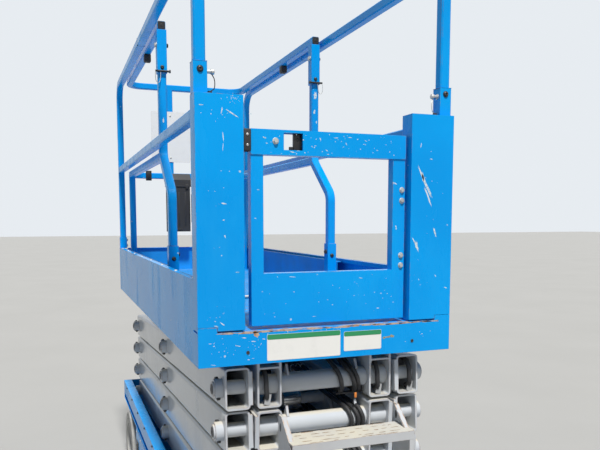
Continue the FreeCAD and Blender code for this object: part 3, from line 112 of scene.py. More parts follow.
class Shader(Nodes):
    """A material's nodes, ending in its one surface shader."""

    def __init__(self, name):
        self.material = bpy.data.materials.new(name)
        self.material.use_nodes = True
        super().__init__(self.material.node_tree)
        self.bsdf = self.tree.nodes["Principled BSDF"]
        self.object = self.add("ShaderNodeTexCoord").outputs["Object"]
        self.normal = None

    def scaled(self, scale):
        return self.add("ShaderNodeMapping", Vector=self.object, Scale=scale).outputs["Vector"]

    def noise(self, scale, detail=4.0, rough=0.55, vector=None):
        made = self.add("ShaderNodeTexNoise", Scale=scale, Detail=detail, Roughness=rough,
                        Vector=vector or self.object)
        return made.outputs["Fac"]

    def cells(self, scale, vector=None, randomness=1.0):
        made = self.add("ShaderNodeTexVoronoi", Scale=scale, Vector=vector or self.object,
                        Randomness=randomness)
        return made.outputs["Distance"]

    def band(self, value, low, high):
        """0 at low, 1 at high, smooth between."""
        made = self.add("ShaderNodeMapRange", Value=value, From_Min=low, From_Max=high)
        made.interpolation_type = "SMOOTHSTEP"
        return made.outputs["Result"]

    def line(self, value, middle, outer, inner):
        """1 within inner of the middle, 0 beyond outer."""
        return self.band(self.math("ABSOLUTE", self.math("SUBTRACT", value, middle)), outer, inner)

    def mix(self, factor, a, b):
        """One colour into another."""
        made = self.tree.nodes.new("ShaderNodeMix")
        made.data_type = "RGBA"
        self.feed(made.inputs["Factor"], factor)
        colours = [socket for socket in made.inputs if socket.type == "RGBA"]
        self.feed(colours[0], rgba(a))
        self.feed(colours[1], rgba(b))
        return [socket for socket in made.outputs if socket.type == "RGBA"][0]

    def blend(self, factor, a, b):
        """One number into another."""
        made = self.tree.nodes.new("ShaderNodeMix")
        made.data_type = "FLOAT"
        numbers = [socket for socket in made.inputs if socket.type == "VALUE"]
        for socket, value in zip(numbers, (factor, a, b)):
            self.feed(socket, value)
        return made.outputs[0]

    def part(self, vector, axis):
        return self.add("ShaderNodeSeparateXYZ", Vector=vector).outputs[axis]

    def upward(self, low, high):
        """1 on faces that look up."""
        normal = self.tree.nodes.new("ShaderNodeNewGeometry").outputs["True Normal"]
        return self.band(self.part(normal, "Z"), low, high)

    def edge(self, radius):
        """1 along the edges of a solid, 0 on its flat faces."""
        bevel = self.add("ShaderNodeBevel", Radius=radius)
        bevel.samples = 4
        dot = self.tree.nodes.new("ShaderNodeVectorMath")
        dot.operation = "DOT_PRODUCT"
        self.feed(dot.inputs[0], bevel.outputs["Normal"])
        self.feed(dot.inputs[1], self.tree.nodes.new("ShaderNodeNewGeometry").outputs["Normal"])
        return self.band(self.math("SUBTRACT", 1.0, dot.outputs["Value"]), 0.02, 0.25)

    def bump(self, height, strength, distance):
        made = self.add("ShaderNodeBump", Height=height, Strength=strength, Distance=distance)
        self.over(made)

    def soften(self, radius):
        """Rounds sharp edges in the shading alone."""
        bevel = self.add("ShaderNodeBevel", Radius=radius)
        bevel.samples = 4
        self.over(bevel)

    def over(self, node):
        """Lay a node's normal over the ones before it."""
        if self.normal is not None:
            self.feed(node.inputs["Normal"], self.normal)
        self.normal = node.outputs["Normal"]

    def done(self, colour, rough, metal=0.0, **fixed):
        values = dict(Base_Color=rgba(colour), Roughness=rough, Metallic=metal, **fixed)
        if self.normal is not None:
            values["Normal"] = self.normal
        for name, value in values.items():
            self.feed(self.bsdf.inputs[name.replace("_", " ")], value)
        return self.material


def rgba(value):
    if isinstance(value, bpy.types.NodeSocket):
        return value
    return tuple(value) + (1.0,)


def dimmed(colour, share, lift=0.0):
    return tuple(share * part + lift for part in colour)


# Materials

RUST = (0.155, 0.058, 0.022)
RUST_PALE = (0.36, 0.19, 0.1)
DUST = (0.64, 0.59, 0.47)
UNDERCOAT = (0.55, 0.66, 0.72)
SCUFF_GREY = (0.25, 0.25, 0.25)
TYRE_MARK = (0.05, 0.05, 0.05)
# The near-black of the painted shade in the tyre's grooves and rings.
GROOVE_SHADE = (0.06, 0.06, 0.055)
BARE_STEEL = (0.3, 0.29, 0.28)

TREAD_RADIUS = 0.1825
TREAD_GROOVES_X = (0.3065, 0.3415, 0.3765)
SIDE_WALL_RINGS = (0.146, 0.168)
DECK_PATTERN = 30.0


def painted(name, colour, deep, pale, chips, wear, gloss, streak, dusty, shine):
    """Sprayed paint with fading, dust, small chips and worn, rusting edges."""
    s = Shader(name)
    s.bump(s.noise(700.0, 2.0), 0.06, 0.0004)
    s.soften(0.0016)
    tone = s.mix(s.band(s.noise(2.2, 5.0), 0.35, 0.7), deep, colour)
    dust = s.noise(9.0, 8.0, 0.65, s.scaled((1.0, 1.0, 0.35)))
    tone = s.mix(s.times(s.band(dust, 0.52, 0.8), streak), tone, pale)
    if dusty:
        settled = s.blend(s.band(s.noise(5.0, 7.0, 0.62), 0.3, 0.6), 0.35, dusty)
        tone = s.mix(s.times(s.upward(0.75, 0.97), settled), tone, DUST)
    ragged = s.times(s.noise(120.0, 3.0), 0.14)
    small = s.math("LESS_THAN", s.math("ADD", s.cells(17.0), ragged), 0.125)
    rare = s.math("GREATER_THAN", s.noise(6.0, 3.0), 0.6 - 0.1 * chips)
    fine = s.math("LESS_THAN", s.math("ADD", s.cells(75.0), ragged), 0.135)
    fine = s.times(fine, s.math("GREATER_THAN", s.noise(5.0, 4.0), 0.63))
    bare = s.math("MAXIMUM", s.times(small, rare), fine, clamp=True)
    tone = s.mix(s.times(bare, 0.75), tone, UNDERCOAT)
    edge = s.edge(0.004)
    worn = s.times(edge, s.band(s.noise(26.0, 6.0, 0.7), 0.6 - 0.18 * wear, 0.66))
    tone = s.mix(s.times(worn, 0.85), tone, RUST_PALE)
    rusted = s.times(edge, s.band(s.noise(13.0, 6.0, 0.7), 0.66 - 0.12 * wear, 0.72))
    tone = s.mix(rusted, tone, RUST)
    rough = s.blend(s.band(dust, 0.45, 0.8), gloss, gloss + 0.22)
    rough = s.blend(s.math("MAXIMUM", worn, rusted), rough, 0.85)
    return s.done(tone, rough, Specular_IOR_Level=shine)


def galvanised(name, colour, rough):
    """Plated steel, clouded and spotted with rust."""
    s = Shader(name)
    s.bump(s.noise(420.0, 3.0), 0.12, 0.0004)
    s.soften(0.0008)
    cloud = s.noise(60.0, 5.0)
    rust = s.band(s.noise(38.0, 6.0, 0.7), 0.62, 0.74)
    tone = s.mix(s.times(rust, 0.6), s.mix(cloud, dimmed(colour, 0.62), colour), RUST)
    return s.done(tone, s.blend(cloud, rough, rough + 0.25), s.blend(rust, 0.9, 0.2))


def moulded(name, colour, rough, grain):
    """Plastic, rubber or dark coated metal with dust and scuffed edges."""
    s = Shader(name)
    s.bump(s.noise(grain, 2.0), 0.18, 0.0003)
    s.soften(0.001)
    dust = s.noise(14.0, 7.0, 0.65)
    tone = s.mix(s.times(s.band(dust, 0.48, 0.85), 0.35), colour, dimmed(colour, 0.6, 0.05))
    tone = s.mix(s.times(s.edge(0.003), 0.25), tone, SCUFF_GREY)
    return s.done(tone, s.blend(dust, rough, rough + 0.25))


def worn_patch(name, colour, under, scale, share):
    """Bare undercoat or old rust with the next layer showing through."""
    s = Shader(name)
    s.bump(s.noise(380.0, 4.0), 0.3, 0.0005)
    cover = s.noise(scale, 7.0, 0.7)
    tone = s.mix(s.band(cover, share - 0.06, share + 0.1), under, colour)
    return s.done(tone, s.blend(cover, 0.55, 0.85), Specular_IOR_Level=0.3)


def rubber(name, colour):
    """Pale solid tyre: three tread grooves and two rings on each side wall, darkened as painted
    shade, with dirt.
    """
    s = Shader(name)
    s.bump(s.noise(260.0, 5.0), 0.3, 0.0006)
    across = s.math("ABSOLUTE", s.part(s.object, "X"))
    ahead = s.math("SUBTRACT", s.math("ABSOLUTE", s.part(s.object, "Y")), AXLE_Y)
    above = s.math("SUBTRACT", s.part(s.object, "Z"), WHEEL_Z)
    radius = s.math("SQRT", s.math("ADD", s.times(ahead, ahead), s.times(above, above)))
    tread = s.math("GREATER_THAN", radius, TREAD_RADIUS)
    cuts = [s.times(s.line(across, x, 0.0026, 0.0014), tread) for x in TREAD_GROOVES_X]
    cuts += [s.line(radius, ring, 0.0022, 0.0012) for ring in SIDE_WALL_RINGS]
    grooves = cuts[0]
    for cut in cuts[1:]:
        grooves = s.math("MAXIMUM", grooves, cut)
    s.bump(s.math("SUBTRACT", 1.0, grooves), 0.7, 0.002)
    s.soften(0.003)
    dirt = s.noise(11.0, 8.0, 0.65)
    tone = s.mix(s.band(dirt, 0.4, 0.78), colour, dimmed(colour, 0.55, 0.02))
    marks = s.noise(55.0, 3.0, 0.6, s.scaled((1.0, 0.2, 0.2)))
    tone = s.mix(s.times(s.band(marks, 0.62, 0.8), 0.5), tone, TYRE_MARK)
    # Painted shade: the grooves and rings are only bumps, so they are darkened nearly to black for
    # the shade a real cut would hold.
    tone = s.mix(s.times(grooves, 0.75), tone, GROOVE_SHADE)
    return s.done(tone, s.blend(dirt, 0.72, 0.9))


def deck_plate(name, colour):
    """Painted deck sheet with raised treads in a crossed pattern, worn to metal."""
    s = Shader(name)
    up = s.upward(0.8, 0.95)
    turned = s.add("ShaderNodeMapping", Vector=s.object, Rotation=(0.0, 0.0, math.radians(45)),
                   Scale=(DECK_PATTERN, DECK_PATTERN, 0.0))
    raised = s.times(s.band(s.cells(1.0, turned.outputs["Vector"], 0.0), 0.34, 0.2), up)
    s.bump(raised, 0.8, 0.0016)
    s.soften(0.0016)
    wear = s.noise(4.0, 7.0, 0.65)
    bare = s.times(raised, s.band(wear, 0.42, 0.62))
    tone = s.mix(s.band(wear, 0.35, 0.7), dimmed(colour, 0.75), colour)
    tone = s.mix(bare, tone, BARE_STEEL)
    rust = s.times(up, s.band(s.noise(17.0, 7.0, 0.7), 0.6, 0.75))
    tone = s.mix(s.times(rust, 0.7), tone, RUST_PALE)
    return s.done(tone, s.blend(wear, 0.42, 0.7), s.times(bare, 0.5))


BLUE_DEEP = (0.0006, 0.31, 0.8)

# Columns: colour, deeper colour, dusty colour, chips, wear, gloss, streaks, dust lying, shine
PAINTS = {
    "blue_paint": ((0.0008, 0.362, 0.88), BLUE_DEEP, (0.05, 0.45, 0.83),
                   1.0, 0.7, 0.22, 0.14, 0.0, 0.16),
    "arm_grey": ((0.59, 0.625, 0.66), (0.5, 0.53, 0.57), (0.62, 0.62, 0.6),
                 0.5, 1.5, 0.12, 0.15, 0.85, 0.3),
    "step_grey": ((0.56, 0.58, 0.6), (0.46, 0.47, 0.49), (0.62, 0.57, 0.48),
                  0.8, 1.3, 0.45, 0.6, 0.95, 0.2),
    "rim_grey": ((0.5, 0.51, 0.51), (0.38, 0.38, 0.38), (0.5, 0.47, 0.42),
                 0.3, 0.9, 0.4, 0.25, 0.0, 0.2),
}
# Columns: colour, roughness
METALS = {
    "rod_chrome": ((0.8, 0.8, 0.8), 0.1),
    "zinc": ((0.66, 0.66, 0.64), 0.38),
}
# Columns: colour, roughness, grain
PLASTICS = {
    "dark_steel": ((0.045, 0.045, 0.05), 0.42, 300.0),
    "black_plastic": ((0.018, 0.018, 0.02), 0.5, 900.0),
    "battery_case": ((0.03, 0.03, 0.034), 0.6, 900.0),
    "hydraulic_block": ((0.06, 0.062, 0.066), 0.45, 400.0),
    "black_oxide": ((0.009, 0.009, 0.01), 0.28, 500.0),
    "white_film": ((0.8, 0.8, 0.78), 0.38, 600.0),
    "green_film": ((0.02, 0.26, 0.1), 0.38, 600.0),
    "red_plastic": ((0.62, 0.025, 0.02), 0.35, 900.0),
    "orange_plastic": ((0.72, 0.22, 0.03), 0.4, 900.0),
    "hose_rubber": ((0.022, 0.022, 0.024), 0.5, 500.0),
    "strap_grey": ((0.33, 0.34, 0.35), 0.6, 500.0),
}
# Columns: colour, layer under it, size of the mottling, share that shows through
PATCHES = {
    "tread_worn": ((0.4, 0.29, 0.19), (0.2, 0.11, 0.06), 70.0, 0.5),
    "bare_patch": ((0.64, 0.72, 0.76), (0.18, 0.43, 0.64), 130.0, 0.42),
    "rust_patch": ((0.52, 0.4, 0.29), RUST_PALE, 45.0, 0.45),
    "glue_patch": ((0.42, 0.44, 0.3), (0.3, 0.26, 0.15), 80.0, 0.5),
}
MATERIALS = {
    "tyre_rubber": rubber("tyre_rubber", (0.42, 0.42, 0.4)),
    "deck_sheet": deck_plate("deck_sheet", BLUE_DEEP),
}
for make, table in ((painted, PAINTS), (galvanised, METALS), (moulded, PLASTICS),
                    (worn_patch, PATCHES)):
    for material_name, values in table.items():
        MATERIALS[material_name] = make(material_name, *values)

SLOT_OF = {row["node"]: row["material_slot"] for row in frame["record"]["subparts"]}
for node_name, node_object in frame["nodes"].items():
    look = "deck_sheet" if node_name in ("platform_deck", "extension_deck") else SLOT_OF[node_name]
    node_object.data.materials.clear()
    node_object.data.materials.append(MATERIALS[look])


def coat(slot, look=None):
    """A slot of the frame with the material shown for it."""
    return slot, MATERIALS[look or slot]


BRIGHT = coat("rod_chrome", "zinc")
STEEL = coat("dark_steel", "zinc")
DARK_STEEL = coat("dark_steel", "black_oxide")
BLACK = coat("black_plastic", "black_oxide")
PLASTIC = coat("black_plastic")
HOSE = coat("black_plastic", "hose_rubber")
BLUE_PAINT = coat("blue_paint")
CHIPPED = coat("blue_paint", "bare_patch")


# Mesh helpers

def in_scene(name, data):
    made = bpy.data.objects.new(name, data)
    bpy.context.scene.collection.objects.link(made)
    return made


def add(name, body, coating, *builds, sharp=32.0):
    """Make one piece from what the builds draw, riding on a body."""
    slot, material = coating
    bm = bmesh.new()
    for build in builds:
        build(bm)
    bmesh.ops.recalc_face_normals(bm, faces=bm.faces)
    limit = math.radians(sharp)
    for face in bm.faces:
        face.smooth = True
    for edge in bm.edges:
        edge.smooth = len(edge.link_faces) == 2 and edge.calc_face_angle(0.0) < limit
    mesh = bpy.data.meshes.new(name)
    bm.to_mesh(mesh)
    bm.free()
    mesh.materials.append(material)
    piece = in_scene(name, mesh)
    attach(piece, body)


def turns(count, start=0.0):
    """Cosine and sine of evenly spaced directions round a circle."""
    for index in range(count):
        angle = start + 2.0 * math.pi * index / count
        yield math.cos(angle), math.sin(angle)


def spaced(start, pitch, count):
    return [start + pitch * index for index in range(count)]


def join(bm, low, high):
    """Faces between two rings of points, either of which may be one point."""
    count = max(len(low), len(high))
    if count == 1:
        return
    for index in range(count):
        after = (index + 1) % count
        if len(low) == 1:
            bm.faces.new((low[0], high[index], high[after]))
        elif len(high) == 1:
            bm.faces.new((low[index], low[after], high[0]))
        else:
            bm.faces.new((low[index], low[after], high[after], high[index]))


def revolve(bm, profile, origin, axis, sides):
    """Turn (radius, height) points in millimetres about an axis through the origin point."""
    spin = Vector(UP).rotation_difference(Vector(axis).normalized()).to_matrix()
    origin = Vector(origin)
    rings = []
    for radius, height in profile:
        spots = [(radius * c, radius * d) for c, d in turns(sides)] if radius else [(0, 0)]
        rings.append([bm.verts.new(origin + spin @ (MM * Vector((a, b, height)))) for a, b in spots])
    for low, high in zip(rings, rings[1:]):
        join(bm, low, high)


def sweep(bm, path, radius, sides=10, closed=False):
    """A round bar along a list of points."""
    points = [Vector(p) for p in path]
    count = len(points)
    rings = []
    side = None
    for index, point in enumerate(points):
        before = points[index - 1] if index or closed else point
        after = points[(index + 1) % count] if index < count - 1 or closed else point
        forward = (after - before).normalized()
        if side is None:
            helper = Vector(UP) if abs(forward.z) < 0.9 else Vector(OUTWARD)
            side = forward.cross(helper).normalized()
        side = (side - forward * side.dot(forward)).normalized()
        up = forward.cross(side)
        rings.append([bm.verts.new(point + side * (radius * c) + up * (radius * d))
                      for c, d in turns(sides)])
    for low, high in zip(rings, rings[1:]):
        join(bm, low, high)
    if closed:
        join(bm, rings[-1], rings[0])
    else:
        bm.faces.new(rings[0])
        bm.faces.new(rings[-1])


def smooth_path(points, steps):
    """A Catmull-Rom curve through points."""
    nodes = [Vector(p) for p in points]
    nodes = [2 * nodes[0] - nodes[1]] + nodes + [2 * nodes[-1] - nodes[-2]]
    path = []
    for a, b, c, d in zip(nodes, nodes[1:], nodes[2:], nodes[3:]):
        for step in range(steps):
            t = step / steps
            path.append(0.5 * ((2 * b) + (c - a) * t + (2 * a - 5 * b + 4 * c - d) * t * t
                               + (3 * b - a - 3 * c + d) * t ** 3))
    path.append(nodes[-2])
    return path


def slab(bm, low, high, bevel, segments=2):
    """A block with rounded edges."""
    low, high = Vector(low), Vector(high)
    made = bmesh.ops.create_cube(bm, size=1.0)
    size = high - low
    for vert in made["verts"]:
        vert.co = (low + high) / 2 + vert.co * size
    edges = list(dict.fromkeys(edge for vert in made["verts"] for edge in vert.link_edges))
    bmesh.ops.bevel(bm, geom=edges, offset=min(bevel, 0.45 * min(size)), segments=segments,
                    affect="EDGES", profile=0.5)


def plate(bm, low, high, radius, proud, steps=5):
    """A sheet across the machine with round corners and a softened front edge."""
    ring = []
    for sx, sz, start in ((1, 1, 0), (-1, 1, 90), (-1, -1, 180), (1, -1, 270)):
        middle_x = (high[0] - radius) if sx > 0 else (low[0] + radius)
        middle_z = (high[2] - radius) if sz > 0 else (low[2] + radius)
        for step in range(steps + 1):
            angle = math.radians(start + 90.0 * step / steps)
            ring.append((middle_x + radius * math.cos(angle), middle_z + radius * math.sin(angle)))
    inset = min(proud, radius * 0.4)
    middle_x, middle_z = (low[0] + high[0]) / 2, (low[2] + high[2]) / 2
    rows = []
    for y, shrink in ((low[1], 0.0), (high[1] - inset, 0.0), (high[1], inset)):
        rows.append([bm.verts.new((x + shrink * (1 if x < middle_x else -1), y,
                                   z + shrink * (1 if z < middle_z else -1))) for x, z in ring])
    for lower, upper in zip(rows, rows[1:]):
        join(bm, lower, upper)
    bm.faces.new(rows[0])
    bm.faces.new(rows[-1])


def button_head(bm, origin, axis, radius, height):
    """A round-head screw with its hex socket, sized in millimetres."""
    profile = [(radius, 0)]
    for step in range(1, 6):
        angle = math.radians(15.0 * step)
        profile.append((radius * math.cos(angle), height * math.sin(angle)))
    inner = radius * 0.42
    profile += [(inner, height * 0.97), (inner, height * 0.35), (0, height * 0.35)]
    revolve(bm, profile, origin, axis, 18)


def hex_head(bm, origin, axis, radius, height, washer):
    """A hexagon bolt head on its washer, sized in millimetres."""
    thick = 1.6
    revolve(bm, [(0, 0), (washer, 0), (washer, 1.2), (washer - 0.5, thick), (0, thick)],
            origin, axis, 24)
    revolve(bm, [(radius, 0), (radius, height - 1.2), (radius * 0.88, height), (0, height)],
            Vector(origin) + Vector(axis).normalized() * thick * MM, axis, 6)


# Builds: what add() draws a piece from

def heads(head, places, axis, *sizes, sides=(1,)):
    """The same screw head at each place, given for the right side."""
    def build(bm):
        for s in sides:
            for x, y, z in places:
                head(bm, (s * x, y, z), (s * axis[0], axis[1], axis[2]), *sizes)
    return build


def on_each_side(details):
    details("left", -1)
    details("right", 1)


def turned(profile, origin, axis, sides):
    return lambda bm: revolve(bm, profile, origin, axis, sides)


def block(low, high, bevel, segments=2):
    return lambda bm: slab(bm, low, high, bevel, segments)


def side_block(s, near, far, low, high, bevel):
    """A block on one side, from near to far out, between two (y, z) corners."""
    x0, x1 = sorted((s * near, s * far))
    return block((x0, *low), (x1, *high), bevel)


def bar(route, radius, sides=10, steps=0):
    """A straight bar, or one that curves through its route where steps are given."""
    return lambda bm: sweep(bm, smooth_path(route, steps) if steps else route, radius, sides)


def arm_place(level, rising, x, along, rise):
    """World place of a point given along an arm from its rear pin."""
    tilt = ARM_TILT if rising else -ARM_TILT
    z = BASE_PIN_Z + ROW_PITCH * (level - 1 if rising else level)
    return Vector((x, PIN_REAR_Y + along * math.cos(tilt) - rise * math.sin(tilt),
                   z + along * math.sin(tilt) + rise * math.cos(tilt)))


# Rear post sockets and their lock pins

def socket_details(side, s):
    foot = COLUMN_TOP[s]
    top = foot + SOCKET_RISE
    x, y = s * RAIL_X, REAR_POST_Y
    bolt_z, pin_z = (top - 0.021, top - 0.024) if s < 0 else (top - 0.019, top - 0.026)
    inner = x - s * SLEEVE_HALF
    head = inner - s * 0.0165
    add("socket_bolt_" + side, "platform", BLACK,
        heads(button_head, [(x, y - SLEEVE_HALF, bolt_z)], REAR, 9.5, 6))
    add("lock_pin_" + side, "platform", BRIGHT,
        turned([(0, 0), (8.5, 0), (8.5, 2.2), (5.5, 3), (5.5, 12.5),
                (7.5, 14), (8, 18), (7.2, 22.2), (4, 23.6),
                (0, 23.6)], (inner, y - 0.004, pin_z), (-s, 0, 0), 20))
    route = [(head, y - 0.004, pin_z - 0.007), (head - s * 0.006, y - 0.008, pin_z - 0.022),
             (head - s * 0.005, y - 0.01, pin_z - 0.044),
             (head + s * 0.004, y - 0.007, foot + 0.01), (head + s * 0.007, y - 0.006, foot + 0.004)]
    add("pin_lanyard_" + side, "platform", DARK_STEEL if s < 0 else STEEL, bar(route, 0.0014, 8, 6))
    add("lanyard_anchor_" + side, "platform", BLACK,
        turned([(0, 0), (6.8, 0), (7.5, 3), (6.2, 9.5), (0, 10.5)],
               (head + s * 0.007, y - 0.006, foot), UP, 16))

    def rims(bm):
        reach = SLEEVE_HALF
        for z, radius in ((top + 0.0004, 0.001), (foot + 0.0016, 0.0014)):
            ring = [(x - reach, y - reach, z), (x + reach, y - reach, z),
                    (x + reach, y + reach, z), (x - reach, y + reach, z)]
            sweep(bm, ring, radius, 6, closed=True)

    add("socket_weld_" + side, "platform", BLUE_PAINT, rims)


on_each_side(socket_details)


# Extension rail fasteners

def extension_post_details(side, s):
    x, y = s * EXTENSION_X, EXTENSION_POST_Y
    top = EXTENSION_TOP_Z - TUBE_HALF
    outer, inner = x + s * SLEEVE_HALF, x - s * SLEEVE_HALF
    bolt_z, pin_z = top - 0.058, top - 0.165
    face_y = y - SLEEVE_HALF
    pin_y = face_y - 0.006
    add("post_bolt_light_" + side, "extension", BRIGHT,
        heads(hex_head, [(x - SLEEVE_HALF, y, bolt_z)], INWARD, 8.5, 6, 11.5))
    add("post_bolt_dark_" + side, "extension", BLACK,
        heads(hex_head, [(x + SLEEVE_HALF, y, bolt_z)], OUTWARD, 8.5, 7, 11.5))
    add("post_button_" + side, "extension", BLACK,
        heads(button_head, [(x, face_y, top - 0.148)], REAR, 8, 5))

    def plug(bm):
        """Drawn facing forward, then turned to the rear."""
        z, reach = EXTENSION_TOP_Z, 0.015
        plate(bm, (x - reach, 0.0, z - reach), (x + reach, 0.0035, z + reach), 0.0045, 0.0012)
        revolve(bm, [(5.2, 3.4), (4.8, 4.6), (0, 4.6)], (x, 0.0, z), FRONT, 14)
        for vert in bm.verts:
            vert.co.y = y - TUBE_HALF - vert.co.y

    add("rail_plug_" + side, "extension", BLACK, plug)
    add("post_pin_" + side, "extension", BLACK,
        bar([(outer + s * 0.0095, pin_y, pin_z), (inner - s * 0.0115, pin_y, pin_z)], 0.0042, 12),
        turned([(0, 0), (6.8, 0), (6.8, 4.5), (0, 5)],
               (inner - s * 0.008, pin_y, pin_z), (-s, 0, 0), 14))
    tip = outer + s * 0.008
    bail = [(tip + s * out, face_y - back, pin_z - drop) for out, back, drop in (
        (0.0, 0.006, 0.0), (0.002, 0.009, 0.012), (0.001, 0.01, 0.036), (-0.007, 0.009, 0.047),
        (-0.016, 0.008, 0.04), (-0.019, 0.0075, 0.016), (-0.02, 0.006, 0.0))]
    add("post_pin_bail_" + side, "extension", BRIGHT, bar(bail, 0.0013, 8, 5))
    add("slide_pad_" + side, "extension", PLASTIC,
        block((x - 0.015, 0.322, top - 0.034), (x + 0.015, 0.357, top), 0.003))


on_each_side(extension_post_details)


# Gate hardware

HINGE_BOLTS = ((0.2373, 1.5655), (0.2376, 1.5334), (0.2363, 1.3663), (0.2364, 1.3355))

add("gate_hinge_bolts", "gate", BRIGHT,
    heads(hex_head, [(x, GATE_FACE_Y, z) for x, z in HINGE_BOLTS], REAR, 6.8, 4.5, 8.8))
add("gate_latch_bolt", "gate", BRIGHT,
    heads(hex_head, [(-0.171, HEAD_FACE_Y, 1.697)], REAR, 7, 6, 9.5))
add("gate_latch_plate", "gate", BLACK,
    block((-0.112, -1.028, 1.6655), (-0.088, -1.015, 1.728), 0.002),
    block((-0.125, -1.025, 1.672), (-0.112, -1.02, 1.684), 0.001),
    heads(button_head, [(-0.101, -1.028, 1.704)], REAR, 4.5, 3))
add("gate_stop", "platform", PLASTIC,
    block((-0.268, -1.05, 1.665), (-0.245, -1.02, 1.727), 0.004, 3))
add("gate_stop_screws", "platform", STEEL,
    heads(button_head, [(-0.2565, -1.05, z) for z in (1.682, 1.711)], REAR, 4, 2.8))


# Labels, left blank, and the plugs beside them

def film(x0, z0, x1, z1, thickness):
    return lambda bm: plate(bm, (x0, FASCIA_Y - thickness, z0), (x1, FASCIA_Y - 0.00005, z1),
                            0.004, 0.0001)


for label, look, sheet in (
        ("label_wide", "white_film", film(-0.2045, 1.071, 0.0258, 1.148, 0.0005)),
        ("label_wide_band", "green_film", film(-0.2038, 1.1325, 0.0251, 1.1475, 0.0007)),
        ("label_small", "white_film", film(0.037, 1.0825, 0.1625, 1.142, 0.0005)),
        ("label_small_band", "green_film", film(0.0377, 1.127, 0.1618, 1.1415, 0.0007))):
    add(label, "platform", coat("step_grey", look), sheet)

PLUG_PROFILE = [(0, 0.2), (4.6, 0.2), (5.2, 1), (5, 1.6),
                (3, 1.7), (2.6, 0.6), (0, 0.6)]
add("fascia_plugs", "platform", BLACK,
    *[turned(PLUG_PROFILE, (x, FASCIA_Y, 1.0998), REAR, 16) for x in (-0.2617, 0.2702)])


# Notice board, document box and control box

BOARD_FACE_Y = FRONT_RAIL_Y - 0.003
DOCUMENT_FACE_Y = 1.0902
DOCUMENT_LOW_Z = 1.676
STOP_X, STICK_X = 0.0625, 0.1475

add("notice_board", "extension", coat("step_grey", "white_film"),
    lambda bm: plate(bm, (-0.21, BOARD_FACE_Y, 1.82), (0.02, FRONT_RAIL_Y - 0.0004, 2.115),
                     0.01, 0.0006))
add("notice_screws", "extension", STEEL,
    heads(button_head, [(-0.098, BOARD_FACE_Y, z) for z in (1.845, 2.09)], REAR, 5.5, 3.5))


def document_trim(bm):
    """Hinge edge, two clips, a lip and three ribs on the box."""
    y, low = DOCUMENT_FACE_Y, DOCUMENT_LOW_Z
    slab(bm, (-0.1365, y - 0.0012, low - 0.003), (0.0115, EXTENSION_BOX_Y - 0.001, low + 0.001),
         0.0008)
    for x in (-0.11, -0.015):
        slab(bm, (x - 0.009, y - 0.004, low - 0.016), (x + 0.009, y + 0.001, low + 0.012), 0.002)
    slab(bm, (-0.08, y + 0.001, 1.415), (-0.045, y + 0.005, 1.423), 0.001)
    for x in (-0.1, -0.0625, -0.025):
        slab(bm, (x - 0.004, y + 0.002, 1.44), (x + 0.004, y + 0.005, 1.64), 0.0015)


def control_frame(x, lift=0.0, rise=0.0):
    """A place on the control box's sloping face and the way out of that face."""
    top = Vector((x, EXTENSION_BOX_Y - 0.058, 1.63))
    foot = Vector((x, EXTENSION_BOX_Y - 0.12, 1.548))
    uphill = (top - foot).normalized()
    out = Vector((0.0, -uphill.z, uphill.y))
    return (top + foot) / 2 + out * lift + uphill * rise, out


def stick_profile():
    profile = [(0, 0), (24, 0), (24.5, 3)]
    for fold in range(4):
        radius = 22.5 - 3.5 * fold
        height = 5 + 6.2 * fold
        profile += [(radius, height), (radius - 4.2, height + 3)]
    return profile + [(8.2, 33), (8.2, 36), (0, 36)]


def box_screws(bm):
    for x in (0.028, 0.182):
        for rise in (-0.042, 0.042):
            button_head(bm, *control_frame(x, -0.0002, rise), 4, 2.6)


add("document_box_trim", "extension", PLASTIC, document_trim)
add("stop_button", "extension", coat("black_plastic", "red_plastic"),
    turned([(12, -10), (12, 0), (17.2, 1), (19.5, 5), (19.5, 10),
            (17.2, 14.5), (11, 17), (0, 18)], *control_frame(STOP_X, 0.016), 28))
add("stop_collar", "extension", STEEL,
    turned([(0, 0), (23.5, 0), (24, 2), (22.5, 4), (0, 4)],
           *control_frame(STOP_X), 28))
add("stick_boot", "extension", PLASTIC, turned(stick_profile(), *control_frame(STICK_X), 28),
    sharp=50.0)
add("stick_grip", "extension", BLACK,
    turned([(8, 30), (9.5, 34), (15.5, 44), (16.5, 56),
            (15, 68), (11, 76), (6, 78.5), (0, 79)],
           *control_frame(STICK_X), 28), sharp=50.0)
add("control_box_screws", "extension", STEEL, box_screws)


# Hoses along the arms and over the deck's cross tube, with their clamps

HOSE_RADIUS = 0.007
HOSE_TURN = 0.0385
HOSE_XS = (0.07, 0.09, 0.11)
REAR_XS = (0.089, 0.112, 0.128)
DECK_HOSES = ((0.04, 0.064), (0.076, 0.112), (0.094, 0.124))


def hose_run(level):
    """Routes along one inner arm, wrapped round the cross tubes at its ends."""
    routes = []
    for x, rear_x in zip(HOSE_XS, REAR_XS):
        points = []
        if level > 1:
            points.append((x, 0.17, -HOSE_TURN - 0.003))
            points.append((x, 0.09, -HOSE_TURN - 0.002))
            points.append((x, 0.0, -HOSE_TURN))
            for degrees in (-115, -140, -165, 170, 145, 120, 95):
                share = 1.0 if degrees < 0 else (degrees - 95) / 75.0
                angle = math.radians(degrees)
                points.append((x + (rear_x - x) * (0.35 + 0.65 * share),
                               HOSE_TURN * math.cos(angle), HOSE_TURN * math.sin(angle)))
        else:
            points.append((x, 0.06, HOSE_TURN))
        for share in (0.06, 0.15, 0.3, 0.45, 0.6, 0.75, 0.9):
            sag = 0.0035 * math.sin(37.0 * share + 60.0 * x)
            points.append((x, share * ARM_LENGTH, HOSE_TURN + 0.001 + sag))
        if level < 4:
            for degrees in (90, 60, 30, 0, -30, -60, -90):
                angle = math.radians(degrees)
                points.append((x, ARM_LENGTH + HOSE_TURN * math.cos(angle),
                               HOSE_TURN * math.sin(angle)))
            points.append((x, ARM_LENGTH - 0.12, -HOSE_TURN - 0.003))
        routes.append([arm_place(level, True, *point) for point in points])
    return routes


